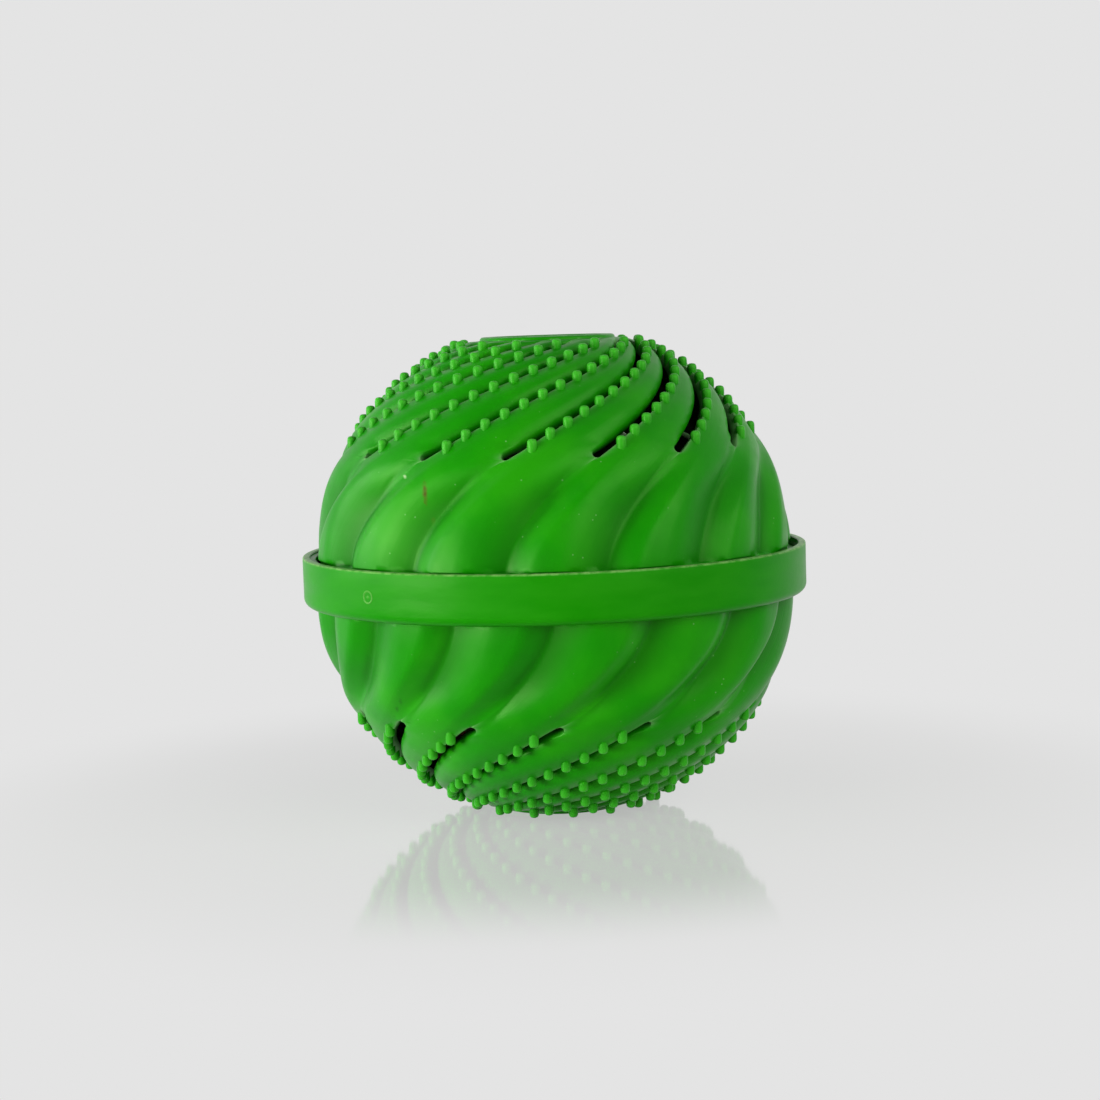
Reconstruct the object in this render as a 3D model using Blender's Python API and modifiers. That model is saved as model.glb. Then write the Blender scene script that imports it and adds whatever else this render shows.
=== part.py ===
"""Laundry ball: two slotted swirl shells with pins, a bayonet closing band, pole magnets and ceramic beads.

Metres, +Z up. The origin is the centre of the flat disc that the ball stands on. Both shells are one
moulding, which is worked out here pole up about the ball's centre and turned over for the lower half.
"""

from itertools import product
from math import acos, asin, atan, atan2, cos, exp, hypot, log, pi, radians, sin, sqrt, tan

import bmesh
import bpy
from mathutils import Matrix, Vector
from mathutils.bvhtree import BVHTree

# The ball
LOBES = 15
RIM_CREST_RADIUS = 0.0518
HALF_HEIGHT = 0.0515
WALL = 0.0020
POLE_DISC_RADIUS = 0.0140
POLE_DISC_STEP = 0.0007
POLE_SHOULDER = 0.0005
PARTING_GAP = 0.0003
FIT_GAP = 0.0003

# The swirl: polar angles from the pole, and how fast the rows turn about the axis
SLOT_TOP_ANGLE = radians(19.0)
SLOT_END_ANGLE = radians(58.2)
SLOT_END_AZIMUTH = radians(-55.0)
SLOT_WIDTH = 0.0019
MOST_SLOT_SHARE = 0.34
SWIRL_RATE = radians(82.0)
RIM_SWIRL_RATE = radians(12.0)
LEADING_EDGE_DEPTH = 0.0001
TRAILING_EDGE_DEPTH = 0.0021
RIM_GROOVE_DEPTH = 0.0011
FULL_DEPTH_PITCH = 0.0080
LOBE_TURN_SHARE = 0.62
LOBE_TURN_DROP = 0.14
PINS_PER_SLOT_RING = 2
GROOVE_ROWS = 3

# The pins along each slot, all parallel to the ball's axis
PINS_PER_ROW = 13
PIN_CORNER_RADIUS = 0.0013
PIN_FIRST_RISE = 0.0008
PIN_LAST_RISE = 0.00155
PIN_PITCH = 0.00442
PIN_FIRST_ANGLE = radians(54.95)
PIN_OFFSET = 0.0011
PIN_SIDES = 4
PIN_SINK = 0.0016

# The skirt of each shell and the closing band round both
SKIRT_STEP = 0.0008
SKIRT_TOP = 0.0041
BAND_AIR_GAP = 0.0016
BAND_WALL = 0.0016
BAND_HALF_HEIGHT = 0.0053
BAND_CORNER = 0.0018
BAND_TOP_CHAMFER = 0.0003
BAND_LIP_THICKNESS = 0.0016
BAND_LUG_RECESS = 0.0005
BAND_STEPS = 48

# The bayonet
LUGS = 5
LUG_ARC = radians(30.0)
LUG_TOP = 0.0034
LUG_HEIGHT = 0.0022
LUG_SINK = 0.0005
STOP_ARC = radians(2.0)
STOP_GAP_ARC = radians(0.35)
STOP_REACH = 0.0009
STOP_ROOT = 0.0007
ARC_STEPS = 4

# The magnets and their pockets behind the pole discs
MAGNET_RADIUS = 0.0100
MAGNET_THICKNESS = 0.0040
POCKET_WALL = 0.0018
POCKET_CAP_THICKNESS = 0.0012
POCKET_CAP_SPIGOT = 0.0009
SMALL_CHAMFER = 0.0003
ROUND_STEPS = 24

# The beads that lie in the lower half
BEAD_RADIUS = 0.0040
BEAD_GAP = 0.0003
BEAD_SEGMENTS = 8
BEAD_RINGS = 4
BEADS_ROUND_THE_FIRST = 6
BEAD_RING_TURNS = (0.5, 0.25)
MOST_BEADS = 36
SETTLING_STEP = 0.00001
BEAD_KINDS = ("terracotta", "ivory", "grey", "umber")

SHELL_GREEN = (0.030, 0.320, 0.012)
BAND_GREEN = (0.035, 0.300, 0.014)
NICKEL = (0.62, 0.61, 0.58)
BEAD_COLOURS = {
    "terracotta": (0.42, 0.13, 0.06),
    "ivory": (0.75, 0.70, 0.58),
    "grey": (0.28, 0.29, 0.29),
    "umber": (0.10, 0.055, 0.03),
}

LOBE_PITCH = 2 * pi / LOBES
DISC_FOOT_RADIUS = POLE_DISC_RADIUS + POLE_DISC_STEP
DISC_FOOT_HEIGHT = HALF_HEIGHT - POLE_DISC_STEP
POLE_CREST_RADIUS = hypot(DISC_FOOT_RADIUS, DISC_FOOT_HEIGHT) + POLE_SHOULDER
SKIRT_RADIUS = RIM_CREST_RADIUS - SKIRT_STEP
BAND_INNER_RADIUS = RIM_CREST_RADIUS + BAND_AIR_GAP
BAND_OUTER_RADIUS = BAND_INNER_RADIUS + BAND_WALL
LUG_OUTER_RADIUS = BAND_INNER_RADIUS - FIT_GAP
BAND_WALL_CORE = BAND_INNER_RADIUS + BAND_WALL / 2
LIP_INNER_RADIUS = RIM_CREST_RADIUS + FIT_GAP
POCKET_RADIUS = MAGNET_RADIUS + FIT_GAP
POCKET_OUTER_RADIUS = POCKET_RADIUS + POCKET_WALL
POLE_INNER_FACE = HALF_HEIGHT - WALL
MAGNET_TOP = POLE_INNER_FACE - FIT_GAP
POCKET_MOUTH = MAGNET_TOP - MAGNET_THICKNESS - FIT_GAP - POCKET_CAP_SPIGOT - FIT_GAP


def clear_scene():
    """Removes every object of the scene that the file opens with."""
    for obj in list(bpy.data.objects):
        bpy.data.objects.remove(obj)


def new_collection(name):
    collection = bpy.data.collections.new(name)
    bpy.context.scene.collection.children.link(collection)
    return collection


def new_material(name, colour, roughness, metallic=0.0):
    material = bpy.data.materials.new(name)
    material.use_nodes = True
    shader = material.node_tree.nodes["Principled BSDF"]
    shader.inputs["Base Color"].default_value = (*colour, 1.0)
    shader.inputs["Roughness"].default_value = roughness
    shader.inputs["Metallic"].default_value = metallic
    return material


def new_object(name, mesh, collection, parent=None, material=None):
    obj = bpy.data.objects.new(name, mesh)
    collection.objects.link(obj)
    obj.parent = parent
    if material and not mesh.materials:
        mesh.materials.append(material)
    return obj


def mesh_from(bm, name):
    bmesh.ops.recalc_face_normals(bm, faces=bm.faces[:])
    mesh = bpy.data.meshes.new(name)
    bm.to_mesh(mesh)
    bm.free()
    return mesh


def helper(name, bm, collection, parent=None):
    """A hidden shape that a Boolean reads."""
    obj = new_object(name, mesh_from(bm, name), collection, parent)
    obj.hide_render = True
    obj.display_type = "WIRE"
    return obj


def add_boolean(obj, other, operation):
    modifier = obj.modifiers.new(f"{operation.lower()} {other.name}", "BOOLEAN")
    modifier.operation = operation
    modifier.object = other


def evaluated_mesh(obj, name):
    """The object's mesh with its modifiers applied, as a mesh of its own."""
    bpy.context.view_layer.update()
    graph = bpy.context.evaluated_depsgraph_get()
    mesh = bpy.data.meshes.new_from_object(obj.evaluated_get(graph))
    mesh.name = name
    return mesh


def smooth(mesh, angle=radians(40)):
    mesh.shade_smooth()
    mesh.set_sharp_from_angle(angle=angle)


def turned(name, profile, steps, collection):
    """A solid of revolution about Z. The profile runs down its outer side; its ends may lie on the axis."""
    mesh = bpy.data.meshes.new(name)
    closed = min(r for r, _ in profile) > 0
    edges = [(i, i + 1) for i in range(len(profile) - 1)]
    if closed:
        edges.append((len(profile) - 1, 0))
    mesh.from_pydata([(r, 0, z) for r, z in profile], edges, [])
    obj = new_object(name, mesh, collection)
    screw = obj.modifiers.new("turn", "SCREW")
    screw.steps = steps
    screw.render_steps = steps
    screw.use_merge_vertices = True
    screw.merge_threshold = 1e-6
    screw.use_smooth_shade = False
    return obj


def add_arc_block(bm, inner, outer, low, high, start, end):
    """Adds a solid block that follows an arc about Z: its flat outline, raised from low to high."""
    angles = [start + (end - start) * i / ARC_STEPS for i in range(ARC_STEPS + 1)]
    outline = [(outer, a) for a in angles] + [(inner, a) for a in reversed(angles)]
    base = bm.faces.new([bm.verts.new((r * cos(a), r * sin(a), low)) for r, a in outline])
    raised = bmesh.ops.extrude_face_region(bm, geom=[base])["geom"]
    top = [item for item in raised if isinstance(item, bmesh.types.BMVert)]
    bmesh.ops.translate(bm, verts=top, vec=(0, 0, high - low))


def conformal(angle):
    """The latitude of a Mercator map, where a path that crosses every meridian alike is a straight line."""
    return -log(tan(angle / 2))


def from_conformal(latitude):
    return 2 * atan(exp(-latitude))


RIM_ANGLE = acos(BAND_HALF_HEIGHT / RIM_CREST_RADIUS)
SLOT_END_LATITUDE = conformal(SLOT_END_ANGLE)
RIM_LATITUDE = conformal(RIM_ANGLE)


def swirl_rate(angle):
    """How far a row turns about the axis per unit of conformal latitude. It eases off towards the rim."""
    share = (conformal(angle) - RIM_LATITUDE) / (SLOT_END_LATITUDE - RIM_LATITUDE)
    return RIM_SWIRL_RATE + (SWIRL_RATE - RIM_SWIRL_RATE) * min(max(share, 0), 1)


def swirl_azimuth(angle):
    """The azimuth of the first slot's centre line at a polar angle, and of the groove that carries it on."""
    rise = conformal(angle) - SLOT_END_LATITUDE
    if rise >= 0:
        return SLOT_END_AZIMUTH + SWIRL_RATE * rise
    rise = max(rise, RIM_LATITUDE - SLOT_END_LATITUDE)
    return SLOT_END_AZIMUTH + rise * (SWIRL_RATE + swirl_rate(angle)) / 2


def crest_radius(angle):
    """The lobes' crests lie on a round dome down to the slots' ends, and draw in from there to the rim."""
    share = max(angle - SLOT_END_ANGLE, 0) / (RIM_ANGLE - SLOT_END_ANGLE)
    return POLE_CREST_RADIUS - (POLE_CREST_RADIUS - RIM_CREST_RADIUS) * share**2


def azimuth_of_width(width, angle):
    """The azimuth that spans a width measured square to the rows."""
    return width * hypot(1, swirl_rate(angle)) / (crest_radius(angle) * sin(angle))


def lobe_columns(angle):
    """(azimuth from the slot's centre, depth below the crests) across one lobe.

    The pins stand behind the leading lip. Past them the lobe rolls over, down to the trailing lip.
    """
    pitch = LOBE_PITCH / azimuth_of_width(1, angle)
    lip = azimuth_of_width(min(SLOT_WIDTH, MOST_SLOT_SHARE * pitch) / 2, angle)
    body = LOBE_PITCH - 2 * lip
    scale = min(pitch / FULL_DEPTH_PITCH, 1)
    past_slot = max(SLOT_END_LATITUDE - conformal(angle), 0) / (SLOT_END_LATITUDE - RIM_LATITUDE)
    past_slot = min(past_slot, 1)
    lead = LEADING_EDGE_DEPTH + (RIM_GROOVE_DEPTH - LEADING_EDGE_DEPTH) * past_slot
    trail = TRAILING_EDGE_DEPTH + (RIM_GROOVE_DEPTH - TRAILING_EDGE_DEPTH) * past_slot
    return [
        (lip, lead * scale),
        (lip + body * LOBE_TURN_SHARE, trail * LOBE_TURN_DROP * scale),
        (lip + body, trail * scale),
    ]


def swirl_row(angle):
    """One ring of the shell's outer skin at a polar angle, lobe by lobe."""
    start = swirl_azimuth(angle)
    ring = []
    for lobe in range(LOBES):
        for azimuth, depth in lobe_columns(angle):
            a = start + lobe * LOBE_PITCH + azimuth
            radius = crest_radius(angle) - depth
            ring.append((radius * sin(angle) * cos(a), radius * sin(angle) * sin(a), radius * cos(angle)))
    return ring


def round_row(radius, height, angle):
    """One plain ring whose points line up with the swirl's at a polar angle."""
    start = swirl_azimuth(angle)
    ring = []
    for lobe in range(LOBES):
        for azimuth, _ in lobe_columns(angle):
            a = start + lobe * LOBE_PITCH + azimuth
            ring.append((radius * cos(a), radius * sin(a), height))
    return ring


def pin_angles():
    """The polar angles of a row's pins, evenly spaced along the row from the slot's end up."""
    angles = [PIN_FIRST_ANGLE]
    while len(angles) < PINS_PER_ROW:
        run = crest_radius(angles[-1]) * hypot(1, swirl_rate(angles[-1]))
        angles.append(angles[-1] - PIN_PITCH / run)
    return angles


def gaps_between_pins():
    """The polar angles, pole first, of the shell's rings along the slots: they pass between the pins."""
    angles = pin_angles()
    half_step = (angles[-2] - angles[-1]) / 2
    gaps = [angle - half_step for angle in angles[PINS_PER_SLOT_RING::PINS_PER_SLOT_RING]]
    return [angle for angle in reversed(gaps) if SLOT_TOP_ANGLE < angle < SLOT_END_ANGLE]


def shell_skin():
    """The open outer skin of one shell, pole up: pole disc, slotted lobes, grooves and skirt."""
    slot_angles = [SLOT_TOP_ANGLE, *gaps_between_pins(), SLOT_END_ANGLE]
    groove_angles = [
        from_conformal(SLOT_END_LATITUDE + (RIM_LATITUDE - SLOT_END_LATITUDE) * i / GROOVE_ROWS)
        for i in range(1, GROOVE_ROWS + 1)
    ]
    foot_angle = atan2(DISC_FOOT_RADIUS, DISC_FOOT_HEIGHT)
    rings = [
        round_row(POLE_DISC_RADIUS, HALF_HEIGHT, foot_angle),
        round_row(DISC_FOOT_RADIUS, DISC_FOOT_HEIGHT, foot_angle),
    ]
    rings += [swirl_row(angle) for angle in slot_angles + groove_angles]
    rings.append(round_row(SKIRT_RADIUS, SKIRT_TOP, RIM_ANGLE))
    rings.append(round_row(SKIRT_RADIUS, PARTING_GAP / 2, RIM_ANGLE))
    bm = bmesh.new()
    rows = [[bm.verts.new(point) for point in ring] for ring in rings]
    bm.faces.new(rows[0])
    across = len(rows[0]) // LOBES
    slot_rows = range(2, 1 + len(slot_angles))
    for i, (upper, lower) in enumerate(zip(rows, rows[1:])):
        for j in range(len(upper)):
            if i in slot_rows and j % across == across - 1:
                continue
            after = (j + 1) % len(upper)
            bm.faces.new((upper[j], lower[j], lower[after], upper[after]))
    return bm


def thicken(bm):
    """Gives the skin its wall: every point is drawn towards the ball's centre."""
    raised = bmesh.ops.extrude_face_region(bm, geom=bm.faces[:])["geom"]
    for item in raised:
        if isinstance(item, bmesh.types.BMVert):
            item.co *= 1 - WALL / item.co.length


def all_pins():
    """The pins of one shell: upright blunt posts on the leading lips, their feet cut to follow the wall."""
    bm = bmesh.new()
    for (number, angle), lobe in product(enumerate(pin_angles()), range(LOBES)):
        azimuth = swirl_azimuth(angle) + lobe * LOBE_PITCH + azimuth_of_width(PIN_OFFSET, angle)
        heading = azimuth + atan2(swirl_rate(angle), -cos(angle))
        crest = crest_radius(angle)
        distance = crest * sin(angle)
        rise = PIN_FIRST_RISE + (PIN_LAST_RISE - PIN_FIRST_RISE) * number / (PINS_PER_ROW - 1)
        tip = sqrt((crest + rise) ** 2 - distance**2)
        place = Matrix.Translation((distance * cos(azimuth), distance * sin(azimuth), tip / 2))
        turn = Matrix.Rotation(heading + pi / PIN_SIDES, 4, "Z")
        post = bmesh.ops.create_cone(
            bm,
            cap_ends=True,
            segments=PIN_SIDES,
            radius1=PIN_CORNER_RADIUS,
            radius2=PIN_CORNER_RADIUS,
            depth=tip,
            matrix=place @ turn,
        )
        for v in post["verts"]:
            if v.co.z < tip / 2:
                v.co.z = sqrt((crest - PIN_SINK) ** 2 - v.co.x**2 - v.co.y**2)
    return bm


def rim_lugs():
    bm = bmesh.new()
    for i in range(LUGS):
        middle = i * 2 * pi / LUGS
        add_arc_block(
            bm,
            SKIRT_RADIUS - LUG_SINK,
            LUG_OUTER_RADIUS,
            LUG_TOP - LUG_HEIGHT,
            LUG_TOP,
            middle - LUG_ARC / 2,
            middle + LUG_ARC / 2,
        )
    return bm


def shell_moulding(helpers):
    """The mesh of one shell, pole up about the ball's centre."""
    skin = shell_skin()
    thicken(skin)
    body = new_object("shell_body", mesh_from(skin, "shell_body"), helpers)
    body.hide_render = True
    body.display_type = "WIRE"
    pocket = turned(
        "pocket_wall",
        [
            (POCKET_OUTER_RADIUS, HALF_HEIGHT - WALL / 2),
            (POCKET_OUTER_RADIUS, POCKET_MOUTH),
            (POCKET_RADIUS, POCKET_MOUTH),
            (POCKET_RADIUS, HALF_HEIGHT - WALL / 2),
        ],
        ROUND_STEPS,
        helpers,
    )
    pocket.hide_render = True
    pocket.display_type = "WIRE"
    add_boolean(body, helper("shell_pins", all_pins(), helpers), "UNION")
    add_boolean(body, helper("shell_lugs", rim_lugs(), helpers), "UNION")
    add_boolean(body, pocket, "UNION")
    mesh = evaluated_mesh(body, "shell_moulding")
    smooth(mesh)
    return mesh


def band_profile():
    """The band's section, down its outside from the top: flat face, rounded foot, lip turned in, bore."""
    corner = [
        (
            BAND_OUTER_RADIUS - BAND_CORNER * (1 - cos(a)),
            -BAND_HALF_HEIGHT + BAND_CORNER * (1 - sin(a)),
        )
        for a in (radians(30 * i) for i in range(4))
    ]
    return [
        (BAND_OUTER_RADIUS - BAND_TOP_CHAMFER, BAND_HALF_HEIGHT),
        (BAND_OUTER_RADIUS, BAND_HALF_HEIGHT - BAND_TOP_CHAMFER),
        *corner,
        (LIP_INNER_RADIUS, -BAND_HALF_HEIGHT),
        (LIP_INNER_RADIUS, -BAND_HALF_HEIGHT + BAND_LIP_THICKNESS),
        (BAND_INNER_RADIUS, -BAND_HALF_HEIGHT + BAND_LIP_THICKNESS),
        (BAND_INNER_RADIUS, BAND_HALF_HEIGHT),
    ]


def band_lugs():
    """The band's own lugs, which lie half way between the shell's at rest and turn to lie over them."""
    bm = bmesh.new()
    low = LUG_TOP + FIT_GAP
    high = BAND_HALF_HEIGHT - BAND_LUG_RECESS
    for middle, stop in band_lug_angles():
        add_arc_block(
            bm, LIP_INNER_RADIUS, BAND_WALL_CORE, low, high, stop - STOP_ARC / 2, middle + LUG_ARC / 2
        )
    return bm


def band_stops():
    """A stop hangs from one end of each of the band's lugs, and meets a shell's lug at the end of the turn."""
    bm = bmesh.new()
    low = LUG_TOP - LUG_HEIGHT
    high = LUG_TOP + FIT_GAP + STOP_ROOT
    for _, stop in band_lug_angles():
        add_arc_block(bm, LUG_OUTER_RADIUS - STOP_REACH, BAND_WALL_CORE, low, high, stop - STOP_ARC, stop)
    return bm


def band_lug_angles():
    """(middle of the lug, end of the stop that meets the shell's lug) for each of the band's lugs."""
    middles = [(i + 0.5) * 2 * pi / LUGS for i in range(LUGS)]
    return [(middle, middle - LUG_ARC / 2 - STOP_GAP_ARC) for middle in middles]


def closing_band(collection, helpers, parent, material):
    band = turned("closing_band", band_profile(), BAND_STEPS, collection)
    band.parent = parent
    band.data.materials.append(material)
    add_boolean(band, helper("band_lugs", band_lugs(), helpers, parent), "UNION")
    add_boolean(band, helper("band_stops", band_stops(), helpers, parent), "UNION")
    return band


def magnet_profile():
    low = MAGNET_TOP - MAGNET_THICKNESS
    return [
        (0, MAGNET_TOP),
        (MAGNET_RADIUS - SMALL_CHAMFER, MAGNET_TOP),
        (MAGNET_RADIUS, MAGNET_TOP - SMALL_CHAMFER),
        (MAGNET_RADIUS, low + SMALL_CHAMFER),
        (MAGNET_RADIUS - SMALL_CHAMFER, low),
        (0, low),
    ]


def cap_profile():
    """A flat lid that closes the pocket's mouth, with a spigot that stands in the mouth."""
    seat = POCKET_MOUTH - FIT_GAP
    spigot = seat + FIT_GAP + POCKET_CAP_SPIGOT
    low = seat - POCKET_CAP_THICKNESS
    return [
        (0, spigot),
        (POCKET_RADIUS - FIT_GAP, spigot),
        (POCKET_RADIUS - FIT_GAP, seat),
        (POCKET_OUTER_RADIUS, seat),
        (POCKET_OUTER_RADIUS, low + SMALL_CHAMFER),
        (POCKET_OUTER_RADIUS - SMALL_CHAMFER, low),
        (0, low),
    ]


def baked(name, profile, helpers):
    """A turned shape as a plain mesh, which both halves share."""
    source = turned(name, profile, ROUND_STEPS, helpers)
    mesh = evaluated_mesh(source, name)
    bpy.data.objects.remove(source)
    smooth(mesh)
    return mesh


def bead_places(moulding):
    """The centres of the beads as they settle in a half, pole up: on the pocket's cap, and on the wall."""
    wall = BVHTree.FromPolygons([v.co for v in moulding.vertices], [p.vertices for p in moulding.polygons])
    spacing = 2 * BEAD_RADIUS + BEAD_GAP
    cap_height = POCKET_MOUTH - FIT_GAP - POCKET_CAP_THICKNESS - BEAD_GAP - BEAD_RADIUS
    places = [Vector((0, 0, cap_height))]
    around = ring_angles(BEADS_ROUND_THE_FIRST, 0)
    places += [Vector((spacing * cos(a), spacing * sin(a), cap_height)) for a in around]
    least_distance = max(POCKET_OUTER_RADIUS + BEAD_RADIUS + BEAD_GAP, 2 * spacing)
    angle = asin(least_distance / bead_reach(SLOT_TOP_ANGLE))
    for turn in BEAD_RING_TURNS:
        reach = bead_reach(angle)
        count = int(pi / asin(spacing / 2 / (reach * sin(angle))))
        for a in ring_angles(count, turn):
            direction = Vector((sin(angle) * cos(a), sin(angle) * sin(a), cos(angle)))
            places.append(settled(direction, reach, wall))
        angle += 2 * asin(spacing / 2 / reach)
    return places[:MOST_BEADS]


def bead_reach(angle):
    """How far out a bead fits at a polar angle, wherever the lobes lie."""
    return crest_radius(angle) - TRAILING_EDGE_DEPTH - WALL - BEAD_RADIUS - BEAD_GAP


def ring_angles(count, turn):
    return [2 * pi * (i + turn) / count for i in range(count)]


def settled(direction, reach, wall):
    """Where a bead comes to rest that moves out along a direction until it meets the wall."""
    low = reach - WALL
    high = reach + BEAD_RADIUS
    while high - low > SETTLING_STEP:
        middle = (low + high) / 2
        if wall.find_nearest(direction * middle)[3] > BEAD_RADIUS + BEAD_GAP:
            low = middle
        else:
            high = middle
    return direction * low


def bead_mesh(kind, colour):
    bm = bmesh.new()
    bmesh.ops.create_uvsphere(bm, u_segments=BEAD_SEGMENTS, v_segments=BEAD_RINGS, radius=BEAD_RADIUS)
    mesh = mesh_from(bm, f"{kind}_bead")
    mesh.shade_smooth()
    mesh.materials.append(new_material(f"{kind} ceramic", colour, 0.6))
    return mesh


def build():
    clear_scene()
    parts = new_collection("laundry_ball")
    helpers = new_collection("helpers")
    green = new_material("shell plastic", SHELL_GREEN, 0.42)
    band_green = new_material("band plastic", BAND_GREEN, 0.35)
    steel = new_material("nickel plated magnet", NICKEL, 0.25, 1.0)

    centre = bpy.data.objects.new("ball_centre", None)
    parts.objects.link(centre)
    centre.location = (0, 0, HALF_HEIGHT)
    axes = {}
    for name in ("lower_half", "closing_band_axis", "upper_half"):
        axes[name] = bpy.data.objects.new(name, None)
        axes[name].parent = centre
        parts.objects.link(axes[name])
    axes["lower_half"].rotation_euler = (pi, 0, 0)

    moulding = shell_moulding(helpers)
    moulding.materials.append(green)
    magnet = baked("magnet", magnet_profile(), helpers)
    magnet.materials.append(steel)
    cap = baked("magnet_cap", cap_profile(), helpers)
    cap.materials.append(green)
    for side in ("lower", "upper"):
        half = axes[f"{side}_half"]
        new_object(f"{side}_shell", moulding, parts, half)
        new_object(f"{side}_magnet", magnet, parts, half)
        new_object(f"{side}_magnet_cap", cap, parts, half)
    closing_band(parts, helpers, axes["closing_band_axis"], band_green)

    meshes = [bead_mesh(kind, BEAD_COLOURS[kind]) for kind in BEAD_KINDS]
    counts = [0] * len(BEAD_KINDS)
    for i, place in enumerate(bead_places(moulding)):
        kind = i % len(BEAD_KINDS)
        counts[kind] += 1
        bead = new_object(f"{BEAD_KINDS[kind]}_bead_{counts[kind]:02d}", meshes[kind], parts, axes["lower_half"])
        bead.location = place


build()
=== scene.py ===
"""Looks of the laundry ball: two slotted swirl shells, a closing band, magnets and ceramic beads.

Metres, +Z up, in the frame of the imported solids. Both shells are one moulding, which is worked out pole up
about the ball's centre and turned over for the lower half.
"""

import logging
from collections.abc import Callable, Sequence
from dataclasses import dataclass, field
from enum import Enum
from functools import partial
from math import cos, radians, sin, tau

import bpy
import numpy as np
import numpy.typing as npt
from mathutils import Matrix, Vector


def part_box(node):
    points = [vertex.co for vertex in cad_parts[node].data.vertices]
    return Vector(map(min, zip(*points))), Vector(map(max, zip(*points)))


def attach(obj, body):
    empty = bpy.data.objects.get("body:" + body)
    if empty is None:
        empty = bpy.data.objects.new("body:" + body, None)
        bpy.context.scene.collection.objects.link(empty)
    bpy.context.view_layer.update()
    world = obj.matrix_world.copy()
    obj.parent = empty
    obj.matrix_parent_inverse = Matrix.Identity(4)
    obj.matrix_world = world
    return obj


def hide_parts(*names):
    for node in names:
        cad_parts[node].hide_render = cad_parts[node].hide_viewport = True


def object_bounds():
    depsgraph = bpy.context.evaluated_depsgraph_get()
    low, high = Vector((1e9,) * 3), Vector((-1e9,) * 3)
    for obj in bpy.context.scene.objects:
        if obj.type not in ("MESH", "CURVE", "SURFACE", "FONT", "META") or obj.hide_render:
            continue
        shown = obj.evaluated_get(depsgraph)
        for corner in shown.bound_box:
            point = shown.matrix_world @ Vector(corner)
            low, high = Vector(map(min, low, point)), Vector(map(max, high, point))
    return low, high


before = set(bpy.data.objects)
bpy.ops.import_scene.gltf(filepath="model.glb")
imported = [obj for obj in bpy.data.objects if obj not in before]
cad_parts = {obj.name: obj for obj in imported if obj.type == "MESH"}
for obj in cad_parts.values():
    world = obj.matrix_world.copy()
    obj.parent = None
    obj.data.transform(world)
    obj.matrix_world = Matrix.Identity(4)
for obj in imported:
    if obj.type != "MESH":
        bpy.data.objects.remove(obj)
CAD_BOUNDS = [list(corner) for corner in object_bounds()]

Array = npt.NDArray[np.float64]
Index = npt.NDArray[np.int64]
Colour = tuple[float, float, float, float]
Section = list[tuple[float, float]]
Socket = bpy.types.NodeSocket
Node = bpy.types.Node
NodeAdder = Callable[..., Node]
Noises = tuple[tuple[str, float, float], ...]
log = logging.getLogger("laundry_ball")

MM = 0.001
PHOTO_SIDE = 1100
HALF_HEIGHT = (CAD_BOUNDS[1][2] - CAD_BOUNDS[0][2]) / 2
# A Mix node's colours go in at 6 and 7, and its colour comes out at 2. A Map Range node's inputs are, in
# order, its value, the two ends of the range that it comes from, and the two of the range that it goes to.
MIX_A, MIX_B, MIX_OUT = 6, 7, 2
SMOOTH_ANGLE = radians(38)
# A noise texture's values lie mostly between these two.
NOISE_SPAN = (0.3, 0.7)


class Side(Enum):
    """The two halves of the ball."""

    UPPER = "upper"
    LOWER = "lower"

    @property
    def body(self) -> str:
        """The moving body that the half's pieces ride on."""
        return f"{self.value}_half"

    def place(self, points: Array) -> Array:
        """Brings pole-up points about the ball's centre to the half's place: the lower half is turned over.

        Args:
            points: points about the ball's centre, one per row.

        Returns:
            The points in the frame.
        """
        turn = np.array([1.0, 1.0, 1.0]) if self is Side.UPPER else np.array([1.0, -1.0, -1.0])
        return points * turn + np.array([0.0, 0.0, HALF_HEIGHT])


def smoothstep(share: Array) -> Array:
    """An even ease from 0 to 1: x * x * (3 - 2 * x), where x is the share held between 0 and 1."""
    x = np.clip(share, 0.0, 1.0)
    return x * x * (3 - 2 * x)


def mix(start: Array | float, end: Array | float, share: Array) -> Array:
    """The value that lies at a share of the way from start to end."""
    return start + (end - start) * share


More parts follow.
